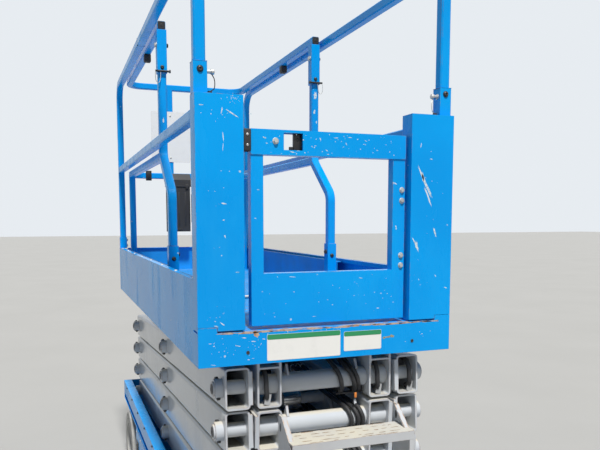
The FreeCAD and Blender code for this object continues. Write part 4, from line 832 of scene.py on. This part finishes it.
def arm_clamps(level):
    """Rings round the hoses and the bars under them at four places along an arm."""
    reach = HOSE_RADIUS + 0.0016

    def build(bm):
        for share in (0.22, 0.42, 0.58, 0.78):
            at = arm_place(level, True, 0.0, share * ARM_LENGTH, HOSE_TURN)
            for x in HOSE_XS:
                ring = [at + Vector((x + reach * c, 0.0, reach * d)) for c, d in turns(12)]
                sweep(bm, ring, 0.0018, 6, closed=True)
            slab(bm, (HOSE_XS[0] - 0.01, at.y - 0.009, at.z - HOSE_RADIUS - 0.007),
                 (0.1445, at.y + 0.009, at.z - HOSE_RADIUS - 0.003), 0.0008)
    return build


def deck_hoses(bm):
    y, z, turn = PIN_REAR_Y, TOP_PIN_Z, HOSE_TURN
    for top_x, low_x in DECK_HOSES:
        points = [(top_x - 0.01, y + 0.14, z + 0.07), (top_x - 0.006, y + 0.06, z + 0.064)]
        for degrees in range(110, 261, 25):
            angle = math.radians(degrees)
            share = (degrees - 110) / 150.0
            points.append((top_x + (low_x - top_x) * share, y + turn * math.cos(angle),
                           z + turn * math.sin(angle)))
        points += [(low_x, y + 0.04, z - turn - 0.003), (low_x, y + 0.11, z - turn - 0.004)]
        sweep(bm, smooth_path(points, 5), HOSE_RADIUS, 12)


def deck_clamps(bm):
    y, z = PIN_REAR_Y, TOP_PIN_Z - HOSE_TURN
    slab(bm, (0.046, y - 0.012, z - 0.0125), (0.14, y + 0.012, z - 0.0085), 0.001)
    for x in (0.064, 0.112, 0.128):
        slab(bm, (x - 0.01, y - 0.01, z - 0.009), (x + 0.01, y + 0.01, z + 0.008), 0.003)


for arm_level in range(1, 5):
    arm_body = "inner_arm_%d" % arm_level
    add("hoses_arm_%d" % arm_level, arm_body, HOSE,
        *[bar(route, HOSE_RADIUS, steps=4) for route in hose_run(arm_level)], sharp=60.0)
    add("hose_clamps_arm_%d" % arm_level, arm_body, STEEL, arm_clamps(arm_level))
add("hoses_deck", "platform", HOSE, deck_hoses, sharp=60.0)
add("hose_clamps_deck", "platform", DARK_STEEL, deck_clamps)
add("hose_tag", "platform", coat("black_plastic", "orange_plastic"),
    block((0.0935, -1.0155, 0.923), (0.1015, -1.0125, 0.94), 0.0012))


# Pins with their grease points, and keepers, along the stack

KEEPER_X, KEEPER_REACH = 0.331, 0.0288
PIN_PROFILE = [(0, 0), (15, 0), (16, 1.2), (5, 3), (4.6, 1),
               (0, 1)]


def pin_details(level):
    """The lowest arm's front end has a roller in place of a pin."""
    pins = [(along, s) for along in (0.0, ARM_LENGTH / 2, ARM_LENGTH) for s in BOTH
            if level > 1 or along < ARM_LENGTH]

    def keepers(bm):
        for along, s in pins:
            for degrees in (250, 70):
                angle = math.radians(degrees) - ARM_TILT
                out = Vector((0.0, math.cos(angle), math.sin(angle)))
                at = arm_place(level, False, s * KEEPER_X, along, 0.0) + out * KEEPER_REACH
                hex_head(bm, at, out, 5.8, 4.5, 7.2)

    body = "outer_arm_%d" % level
    # Dark caps on the pin ends: partly the caps' own dark finish, partly painted shade.
    add("pin_faces_%d" % level, body, coat("dark_steel"),
        *[turned(PIN_PROFILE, arm_place(level, False, s * PIN_HEAD_X, along, 0.0), (s, 0, 0), 24)
          for along, s in pins])
    add("pin_keepers_%d" % level, body, DARK_STEEL, keepers)


for arm_level in range(1, 5):
    pin_details(arm_level)


# Wheels

RIM_FACE_X, RIM_WEB_X, HUB_FACE_X = 0.355, 0.365, 0.379
NUT_CIRCLE, HOLE_CIRCLE = 0.082, 0.1


def wheel_details(end, side, s):
    y = AXLE_Y if end == "front" else -AXLE_Y
    name = "%s_%s" % (end, side)
    body = "wheel_" + name
    out = (s, 0, 0)

    def nuts(bm):
        for c, d in turns(8, math.pi / 8):
            at = Vector((s * RIM_FACE_X, y + NUT_CIRCLE * c, WHEEL_Z + NUT_CIRCLE * d))
            hex_head(bm, at, out, 9.5, 9, 12.5)
            revolve(bm, [(4.5, 0), (4.5, 4), (3.8, 4.8), (0, 4.8)],
                    at + Vector(out) * 0.0104, out, 10)

    # Painted shade: each rim hole is drawn as a lipped disc whose near-black inside stands for the
    # shade in the hole.
    def holes(bm):
        for c, d in turns(4, 0.4):
            at = (s * (RIM_FACE_X + 0.0002), y + HOLE_CIRCLE * c, WHEEL_Z + HOLE_CIRCLE * d)
            revolve(bm, [(6, 0), (6, 1.2), (4.8, 1.4), (4.4, 0.2),
                         (0, 0.2)], at, out, 14)

    add("wheel_nuts_" + name, body, STEEL, nuts)
    add("hub_cap_" + name, body, coat("rim_grey"),
        turned([(0, 0), (24.5, 0), (24.5, 5.5), (22.5, 9), (16, 12.2),
                (8, 13.8), (0, 14.2)], (s * HUB_FACE_X, y, WHEEL_Z), out, 32),
        turned([(30, -1), (48, -1), (48, 1.4), (30, 1.4)],
               (s * RIM_WEB_X, y, WHEEL_Z), out, 40))
    add("rim_hole_shades_" + name, body, DARK_STEEL, holes)


def wheel_pair(side, s):
    wheel_details("rear", side, s)
    wheel_details("front", side, s)


on_each_side(wheel_pair)


# Module trays: latch, screws and drip edges over the vents

TRAY_SCREWS = [(TRAY_FACE_X, y, z) for z in (0.168, 0.366) for y in spaced(-0.49, 0.155, 8)]


def tray_details(side, s):
    body = "tray_" + side
    x = TRAY_FACE_X
    add("tray_latch_" + side, body, BLACK,
        side_block(s, x, x + 0.0022, (0.52, 0.235), (0.6, 0.325), 0.0008),
        side_block(s, x + 0.0018, x + 0.0064, (0.535, 0.248), (0.586, 0.302), 0.002),
        turned([(0, 0), (7.5, 0), (7.5, 3), (3, 3.6), (0, 2.6)],
               (s * (x + 0.0022), 0.56, 0.3125), (s, 0, 0), 16))
    add("tray_screws_" + side, body, STEEL,
        heads(button_head, TRAY_SCREWS, OUTWARD, 6, 3.6, sides=(s,)))
    add("vent_lips_" + side, body, BLUE_PAINT,
        *[side_block(s, x - 0.001, x + 0.005, (y - 0.036, 0.3545), (y + 0.036, 0.3575), 0.001)
          for y in spaced(-0.1775, 0.092, 6)])


on_each_side(tray_details)


# Battery tops

BATTERY_YS = spaced(-0.418, 0.187, 4)
BATTERY_TOP_Z = 0.3362
POST_XS = (-0.365, -0.238)


def battery_lids(bm):
    for y in BATTERY_YS:
        slab(bm, (-0.3885, y, 0.3285), (-0.2145, y + 0.183, 0.3365), 0.003)
        for x in spaced(-0.365, 0.025, 3) + spaced(-0.288, 0.025, 3):
            revolve(bm, [(0, 0), (10.5, 0), (10.5, 6), (8.5, 8),
                         (0, 8)], (x, y + 0.11, BATTERY_TOP_Z), UP, 12)


add("battery_lids", "tray_left", coat("battery_case"), battery_lids)
add("battery_posts", "tray_left", STEEL,
    *[turned([(0, 0), (9, 0), (8, 14), (0, 15)],
             (x, y + 0.035, BATTERY_TOP_Z), UP, 14) for y in BATTERY_YS for x in POST_XS])
add("battery_leads", "tray_left", HOSE,
    *[bar([(-0.238, y, 0.348), (-0.24, y + 0.03, 0.357), (-0.3, y + 0.1, 0.36),
           (-0.362, y + 0.155, 0.357), (-0.365, y + 0.187, 0.348)], 0.0065, steps=6)
      for y in [start + 0.035 for start in BATTERY_YS[:3]]],
    bar([(-0.365, -0.383, 0.348), (-0.33, -0.405, 0.36), (-0.25, -0.425, 0.345),
         (-0.225, -0.44, 0.29), (-0.222, -0.455, 0.175)], 0.0065, steps=8))


# Hydraulic unit

PUMP_X, PUMP_Z = 0.3, 0.225


def pump_motor(bm):
    revolve(bm, [(0, 0), (50, 0), (53, 4), (53, 150), (48, 158),
                 (30, 160), (28, 172), (0, 172)], (PUMP_X, 0.1, PUMP_Z), FRONT, 36)
    for c, d in turns(4, math.pi / 4):
        at = (PUMP_X + 0.038 * c, 0.258, PUMP_Z + 0.038 * d)
        hex_head(bm, at, FRONT, 6, 5, 8)


add("pump_motor", "tray_right", coat("hydraulic_block"), pump_motor)
add("tank_cap", "tray_right", BLACK,
    turned([(0, 0), (26, 0), (26, 12), (23, 18), (0, 19)],
           (PUMP_X, -0.33, 0.3398), UP, 24))
add("valve_block", "tray_right", BRIGHT,
    block((0.25, 0.02, 0.3395), (0.35, 0.095, 0.365), 0.002),
    *[turned([(0, 0), (9.5, 0), (9.5, 34), (7, 38), (0, 38)],
             (x, 0.093, 0.352), FRONT, 16) for x in (0.272, 0.3, 0.328)])
add("pump_hoses", "tray_right", HOSE,
    *[bar([(x, 0.03, z + 0.02), (x, -0.04, z + 0.027), (x - 0.03, -0.16, z + 0.024),
           (0.24, -0.3, z + 0.02), (0.226, -0.43, 0.33), (0.222, -0.47, 0.24)],
          0.006, steps=7) for x, z in ((0.268, 0.34), (0.332, 0.33))])


# Chassis fittings

KNOB_AT = (0.29, REAR_PLATE_Y, 0.445)
REAR_PLATE_BOLTS = [(x, REAR_PLATE_Y, z) for x, z in (
    (0.225, 0.475), (0.225, 0.41), (0.375, 0.475), (0.375, 0.41), (0.165, 0.15))]
INLET_ROUTE = [(-0.29, -1.173, 0.395), (-0.29, -1.176, 0.372), (-0.278, -1.178, 0.33),
               (-0.235, -1.176, 0.285), (-0.195, -1.172, 0.262), (-0.17, -1.158, 0.258)]

add("charge_inlet", "chassis", PLASTIC,
    block((-0.33, REAR_PLATE_Y - 0.03, 0.41), (-0.25, REAR_PLATE_Y + 0.001, 0.485), 0.004, 3),
    block((-0.325, REAR_PLATE_Y - 0.036, 0.418), (-0.255, REAR_PLATE_Y - 0.029, 0.48), 0.003, 3),
    turned([(0, 0), (10, 0), (10, 10), (7.5, 18), (0, 18)],
           (-0.29, REAR_PLATE_Y - 0.015, 0.4105), DOWN, 14))
add("charge_cable", "chassis", HOSE, bar(INLET_ROUTE, 0.0055, steps=7))
add("lowering_knob", "chassis", coat("black_plastic", "red_plastic"),
    turned([(0, 0), (5, 0), (5, 18), (16, 21), (17.5, 26),
            (16, 32), (0, 34)], KNOB_AT, REAR, 24))
add("lowering_collar", "chassis", STEEL,
    turned([(0, 0), (14, 0), (14, 4), (11, 6), (0, 6)],
           KNOB_AT, REAR, 20))
add("rear_plate_bolts", "chassis", STEEL,
    heads(hex_head, REAR_PLATE_BOLTS, REAR, 8, 6, 11, sides=BOTH))
add("ladder_bolts", "chassis", STEEL,
    heads(hex_head, [(LADDER_X, -1.17, z) for z in (0.3, 0.36, 0.43, 0.485)], OUTWARD,
          7.5, 5.5, 10.5, sides=BOTH))
add("track_bolts", "chassis", DARK_STEEL,
    heads(hex_head, [(0.398, y, 0.4905) for y in spaced(-1.06, 0.262, 9)], OUTWARD,
          5, 4, 5.2, sides=BOTH))


def ladder_hole_shades(bm):
    """Oval lifting holes in the heads of both side plates, seen from each side, drawn as near-black
    ovals that are painted shade.
    """
    y, z = -1.1215, 0.893
    for s in BOTH:
        for x, out in ((0.1871, s), (0.1809, -s)):
            rim, well = [], []
            for c, d in turns(24):
                a, b = 0.0062 * c, 0.0125 * d
                rim.append(bm.verts.new((s * x + out * 0.0004, y + a, z + b)))
                well.append(bm.verts.new((s * x, y + 0.85 * a, z + 0.92 * b)))
            join(bm, rim, well)
            bm.faces.new(rim)
            bm.faces.new(well)


# Painted shade: near-black ovals for the insides of the lifting holes.
add("ladder_hole_shades", "chassis", DARK_STEEL, ladder_hole_shades)


# Cables and straps inside the tube ends

STRAP_SIZE = Vector((0.018, 0.0035, 0.033))


def tube_straps(bm):
    turn = Matrix.Rotation(math.radians(14.0), 3, "Y") @ Matrix.Rotation(math.radians(-12.0), 3, "X")
    for x in (-0.188, 0.182, 0.294):
        made = bmesh.ops.create_cube(bm, size=1.0)
        for vert in made["verts"]:
            vert.co = Vector((x + 0.002, -1.002, TOP_PIN_Z - 0.0385)) + turn @ (vert.co * STRAP_SIZE)


add("tube_cables", "platform", HOSE,
    *[bar([(x + right, y, TOP_PIN_Z + rise) for right, y, rise in (
        (0.004, -0.955, 0.045), (0.002, -0.985, 0.042), (0.0, -1.0055, 0.02),
        (0.0, -1.0085, -0.005), (0.003, -1.004, -0.03), (0.006, -0.975, -0.042))],
          0.0075, steps=6) for x in (-0.192, 0.176, 0.29)], sharp=60.0)
add("tube_straps", "platform", coat("arm_grey", "strap_grey"), tube_straps)


# Rail and panel fasteners

def extension_foot_bolts(bm):
    for s in BOTH:
        for z in (1.215, 1.325):
            button_head(bm, (s * EXTENSION_X, -0.2815, z), REAR, 8.5, 5.5)
        for z in (1.24, 1.34):
            hex_head(bm, (s * 0.3147, -0.262, z), (-s, 0, 0), 7.5, 5.5, 10.5)


def rail_joints(bm):
    z, reach = DECK + 1.088, TUBE_HALF + 0.0005
    for s in BOTH:
        x = s * RAIL_X
        slab(bm, (x - reach, 0.168, z - reach), (x + reach, 0.171, z + reach), 0.003)


add("rail_foot_bolts", "platform", STEEL,
    heads(hex_head, [(0.3645, 1.1845, z) for z in (1.325, 1.357)], INWARD, 7.5, 5.5, 10.5,
          sides=BOTH))
add("extension_foot_bolts", "extension", BLACK, extension_foot_bolts)
add("panel_screws", "platform", STEEL,
    heads(button_head, [(0.3945, y, 1.309) for y in spaced(-0.96, 0.295, 8)], UP,
          5.5, 3.4, sides=BOTH))
add("rail_joints", "platform", BLACK, rail_joints)
add("mid_rail_bracket", "extension", BLACK,
    block((-0.248, FRONT_RAIL_Y - 0.004, 1.708), (-0.214, FRONT_RAIL_Y, 1.766), 0.0015),
    block((-0.241, FRONT_RAIL_Y - 0.011, 1.72), (-0.221, FRONT_RAIL_Y - 0.0035, 1.754),
          0.002))
add("deck_nosing", "extension", BRIGHT,
    block((-0.35, -0.305, 1.162), (0.35, -0.286, 1.1722), 0.0035, 3))
add("nosing_screws", "extension", DARK_STEEL,
    heads(button_head, [(x, -0.295, 1.1722) for x in spaced(-0.315, 0.105, 7)], UP,
          4.5, 2.6))


# Scrapes and worn edges

def scrape(bm, at, normal, along, length, width, rng, depth=0.00025, count=14):
    """An irregular patch of bare undercoat on a flat face."""
    normal, along = Vector(normal).normalized(), Vector(along).normalized()
    across = normal.cross(along)
    low, high = [], []
    for c, d in turns(count):
        reach = 1.0 + rng.uniform(-0.38, 0.3)
        spot = Vector(at) + along * (0.5 * length * reach * c) + across * (0.5 * width * reach * d)
        low.append(bm.verts.new(spot))
        high.append(bm.verts.new(spot + normal * depth))
    join(bm, low, high)
    bm.faces.new(high)
    bm.faces.new(low)


def fleck(bm, spot, slant, size, narrowest, rng):
    """One fine chip on a rear face."""
    scrape(bm, spot, REAR, slant, size, size * rng.uniform(narrowest, 0.9), rng, 0.0002, 7)


# Columns: x, z, length, width in millimetres, and degrees below the horizontal
COLUMN_SCRAPES = (
    (309, 1585, 105, 13, 62), (318, 1545, 60, 8, 66), (298.5, 1603, 30, 9, 80),
    (281, 1395, 34, 14, 74), (345, 1435, 34, 8, 70), (270, 1412, 20, 6, 60),
    (290, 1700, 16, 4, 100), (327, 1660, 9, 5, 10), (388, 1262, 10, 5, 20), (350, 1300, 8, 4, 50),
    (-300, 1763, 36, 6, 30), (-330, 1770, 20, 5, 100), (-327, 1700, 26, 4, 85),
    (-328, 1672, 20, 3, 95), (-327, 1520, 14, 6, 5), (-328, 1475, 6, 5, 0), (-325, 1430, 10, 4, 60),
    (-290, 1330, 10, 4, 0), (-352, 1180, 12, 5, 20), (-335, 1186, 16, 5, 35), (-250, 1765, 8, 5, 0),
    (-387, 1782, 14, 4, 0), (-292, 1121, 17, 4, 12), (-272, 1143, 14, 4, 5), (-245, 1131, 14, 4, 8),
    (-214, 1136, 9, 4, 20), (-259, 1079, 10, 3, 0), (-247, 1082, 8, 3, 0), (-362, 1071, 14, 3, 10),
    (-370, 1132, 8, 3, 0),
)
GATE_HEAD_SCRAPES = (
    (-204, 1705, 10, 6, 20), (-197, 1690, 5, 4, 0), (-121, 1668, 16, 5, 10), (-34, 1707, 10, 4, 70),
    (-50, 1688, 6, 3, 0), (-14, 1676, 9, 3, 30), (16, 1713, 14, 3, 0), (60, 1716, 12, 3, 0),
    (48, 1697, 9, 3, 60), (-10, 1665, 8, 3, 0), (112, 1708, 8, 3, 20), (150, 1682, 6, 3, 0),
)
GATE_SCRAPES = (
    (215, 1585, 10, 6, 30), (219, 1452, 14, 6, 80), (-222, 1560, 7, 4, 0), (-231, 1480, 5, 4, 0),
    (100, 1300, 14, 3, 10), (-120, 1310, 20, 3, 4), (160, 1205, 10, 4, 0), (-50, 1190, 12, 3, 0),
)
# Columns: x, z, half width, half height, number of specks
SPECK_FIELDS = (
    (-0.296, 1.802, 0.016, 0.014, 24), (-0.34, 1.76, 0.05, 0.03, 9),
    (-0.335, 1.48, 0.04, 0.16, 12), (-0.35, 1.22, 0.03, 0.03, 9),
    (0.33, 1.6, 0.045, 0.15, 8), (0.29, 1.3, 0.03, 0.08, 7),
    (-0.33, 1.11, 0.06, 0.026, 14), (-0.24, 1.115, 0.03, 0.022, 12),
    (0.3, 1.115, 0.06, 0.024, 6), (-0.05, 1.153, 0.25, 0.004, 20),
)


# The share of a patch's measured width that its ragged outline fills
WIDTH_SHARE = 0.62


def scrapes(seed, *faces):
    """Patches on one or more rear faces, each given by its y and its rows."""
    def build(bm):
        rng = random.Random(seed)
        for y, rows in faces:
            for x, z, length, width, degrees in rows:
                turn = math.radians(degrees)
                slant = (math.cos(turn), 0, -math.sin(turn))
                scrape(bm, (x * MM, y, z * MM), REAR, slant, length * MM, width * WIDTH_SHARE * MM,
                       rng, count=22)
    return build


def tread_wear(bm):
    """Rusty patches in three rows on each tread, and rust along its edges."""
    rng = random.Random(17)
    for index, top in enumerate(LADDER_TREAD_TOPS):
        front = LADDER_KNEE_Y if index else LADDER_BACK_Y + 0.096
        z = top + 0.0002
        for share in (0.2, 0.48, 0.76):
            y = LADDER_BACK_Y + share * (front - LADDER_BACK_Y)
            x = -0.158 + rng.uniform(0.0, 0.012)
            while x < 0.15:
                length = rng.uniform(0.01, 0.034)
                scrape(bm, (x + length / 2, y + rng.uniform(-0.0025, 0.0025), z), UP,
                       (1, 0, rng.uniform(-0.04, 0.04)), length, rng.uniform(0.0014, 0.0044),
                       rng, 0.0003)
                x += length + rng.uniform(0.004, 0.03)
        for y in (LADDER_BACK_Y + 0.004, front - 0.004):
            x = -0.158
            while x < 0.12:
                length = rng.uniform(0.012, 0.045)
                if rng.random() < 0.62:
                    scrape(bm, (x + length / 2, y, z), UP, OUTWARD, length,
                           rng.uniform(0.0016, 0.0036), rng, 0.0003)
                x += length


def ladder_rust(bm):
    """Rust along both edges of the side plates' sloping flanges."""
    rng = random.Random(41)
    shoulder, head = Vector((0.0, *LADDER_SHOULDER)), Vector((0.0, *LADDER_HEAD))
    slope = head - shoulder
    normal = Vector(OUTWARD).cross(slope).normalized()
    for s in BOTH:
        for x in (0.1738, 0.1852):
            share = 0.06
            while share < 0.9:
                length = rng.uniform(0.1, 0.26)
                middle = Vector((s * x, 0.0, 0.0)) + shoulder + slope * (share + length / 2)
                scrape(bm, middle, normal, slope, length * slope.length,
                       rng.uniform(0.0016, 0.0026), rng)
                share += length + rng.uniform(0.01, 0.1)


def platform_specks(bm):
    """Fine chipped specks in loose clusters on the rear faces."""
    rng = random.Random(29)
    for x, z, wide, high, count in SPECK_FIELDS:
        for _ in range(count):
            spot = (x + rng.gauss(0.0, 0.5) * wide, FASCIA_Y, z + rng.gauss(0.0, 0.5) * high)
            if abs(spot[0]) > 0.4:
                continue
            angle = rng.uniform(0.0, math.pi)
            size = rng.uniform(0.0012, 0.0036)
            fleck(bm, spot, (math.cos(angle), 0, math.sin(angle)), size, 0.35, rng)


def gate_specks(bm):
    rng = random.Random(31)
    for _ in range(52):
        spot = (rng.uniform(-0.19, 0.235), HEAD_FACE_Y, rng.uniform(1.658, 1.722))
        angle = rng.uniform(0.0, math.pi)
        size = rng.uniform(0.0012, 0.0042)
        fleck(bm, spot, (math.cos(angle), 0, math.sin(angle)), size, 0.3, rng)
    for _ in range(36):
        spot = (rng.uniform(-0.235, 0.215), GATE_FACE_Y, rng.uniform(1.18, 1.315))
        fleck(bm, spot, (1, 0, 0.2), rng.uniform(0.0012, 0.004), 0.4, rng)


def fascia_edge(bm):
    """Bare, rusting line where shoes drag over the step."""
    rng = random.Random(11)
    x = -0.35
    while x < 0.345:
        length = rng.uniform(0.03, 0.085)
        middle = min(x + length / 2, 0.335)
        drop = rng.uniform(0.003, 0.006)
        scrape(bm, (middle, FASCIA_Y, DECK - drop / 2), REAR, OUTWARD, length, drop, rng)
        x += length * 0.8
    scrape(bm, (-0.2365, FASCIA_Y, 1.15), REAR, (0.6, 0, -0.8), 0.022, 0.016, rng)
    for middle in (-0.3, -0.1, 0.1, 0.28):
        scrape(bm, (middle, -1.049, DECK), UP, OUTWARD, 0.16, 0.01, rng)


def patches(seed, y, slant, rows):
    """Patches on one rear face that all slant alike, each given by x, z, length and width."""
    def build(bm):
        rng = random.Random(seed)
        for x, z, length, width in rows:
            scrape(bm, (x, y, z), REAR, slant, length, width, rng)
    return build


add("tread_wear", "chassis", coat("step_grey", "tread_worn"), tread_wear)
add("ladder_rust", "chassis", coat("step_grey", "rust_patch"), ladder_rust)
add("platform_specks", "platform", CHIPPED, platform_specks)
add("gate_specks", "gate", CHIPPED, gate_specks)
add("platform_scrapes", "platform", CHIPPED, scrapes(3, (FASCIA_Y, COLUMN_SCRAPES)))
add("gate_scrapes", "gate", CHIPPED,
    scrapes(5, (HEAD_FACE_Y, GATE_HEAD_SCRAPES), (GATE_FACE_Y, GATE_SCRAPES)))
add("fascia_edge_wear", "platform", coat("blue_paint", "rust_patch"), fascia_edge)
add("glue_residue", "platform", coat("blue_paint", "glue_patch"),
    patches(21, FASCIA_Y, (1, 0, 0.06), ((0.183, 1.1165, 0.03, 0.005),
                                         (0.2, 1.1185, 0.014, 0.009),
                                         (0.172, 1.114, 0.01, 0.004))))
add("post_scrapes", "extension", CHIPPED,
    patches(8, EXTENSION_POST_Y - TUBE_HALF, (0.1, 0, 1), ((0.334, 2.02, 0.03, 0.016),
                                                           (0.33, 1.95, 0.022, 0.009),
                                                           (0.34, 1.905, 0.012, 0.006),
                                                           (-0.334, 1.88, 0.02, 0.006))))


# Camera, lights and floor

CAMERA_AT = Vector((-0.76504, -2.80485, 1.4755))
CAMERA_YAW, CAMERA_PITCH, CAMERA_ROLL = (math.radians(v) for v in (19.968, -5.76, -0.061))
CAMERA_FOCAL, CAMERA_COLUMN, CAMERA_ROW = 648.46, 291.53, 285.19
PHOTO_WIDTH, PHOTO_HEIGHT = 600.0, 450.0
SENSOR_WIDTH = 36.0
FLOOR_SIZE = 60.0


def camera():
    cy, sy = math.cos(CAMERA_YAW), math.sin(CAMERA_YAW)
    cp, sp = math.cos(CAMERA_PITCH), math.sin(CAMERA_PITCH)
    cr, sr = math.cos(CAMERA_ROLL), math.sin(CAMERA_ROLL)
    forward = Vector((sy * cp, cy * cp, sp))
    right = Vector((cy, -sy, 0.0))
    up = right.cross(forward)
    turn = Matrix((right * cr + up * sr, up * cr - right * sr, -forward)).transposed().to_4x4()
    data = bpy.data.cameras.new("camera")
    data.sensor_width = SENSOR_WIDTH
    data.lens = SENSOR_WIDTH * CAMERA_FOCAL / PHOTO_WIDTH
    data.shift_x = (PHOTO_WIDTH / 2 - CAMERA_COLUMN) / PHOTO_WIDTH
    data.shift_y = (CAMERA_ROW - PHOTO_HEIGHT / 2) / PHOTO_WIDTH
    data.clip_start = 0.05
    view = in_scene("camera", data)
    view.matrix_world = Matrix.Translation(CAMERA_AT) @ turn
    bpy.context.scene.camera = view


def sunlight():
    sun = bpy.data.lights.new("sun", "SUN")
    sun.energy = 4.25
    sun.angle = math.radians(6.0)
    sun.color = (1.0, 0.975, 0.94)
    toward = Vector((0.05, 0.48, -0.87)).normalized()
    in_scene("sun", sun).rotation_euler = toward.to_track_quat("-Z", "Y").to_euler()


def sky():
    """A dim blue fill that lights the scene, and a brighter pale grey that is seen."""
    world = bpy.data.worlds.new("world")
    bpy.context.scene.world = world
    world.use_nodes = True
    nodes = Nodes(world.node_tree)
    nodes.tree.nodes.clear()
    rays = nodes.tree.nodes.new("ShaderNodeLightPath").outputs
    seen = nodes.math("MAXIMUM", rays["Is Camera Ray"], rays["Is Glossy Ray"])
    seen = nodes.math("MAXIMUM", seen, rays["Is Transmission Ray"])
    mixer = nodes.add("ShaderNodeMixShader", Fac=seen)
    for index, colour, strength in ((1, (0.8, 0.9, 1.0), 0.2), (2, (0.8, 0.84, 0.88), 1.0)):
        glow = nodes.add("ShaderNodeBackground", Color=rgba(colour), Strength=strength)
        nodes.feed(mixer.inputs[index], glow.outputs[0])
    nodes.add("ShaderNodeOutputWorld", Surface=mixer.outputs[0])


def floor():
    bm = bmesh.new()
    bmesh.ops.create_grid(bm, x_segments=1, y_segments=1, size=FLOOR_SIZE)
    mesh = bpy.data.meshes.new("floor")
    bm.to_mesh(mesh)
    bm.free()
    s = Shader("floor")
    s.bump(s.noise(45.0, 6.0, 0.6), 0.15, 0.002)
    tone = s.mix(s.noise(0.9, 4.0), (0.4, 0.4, 0.39), (0.45, 0.45, 0.44))
    mesh.materials.append(s.done(tone, 0.85))
    ground = in_scene("floor", mesh)


camera()
sunlight()
sky()
floor()
bpy.context.scene.view_settings.view_transform = "Standard"
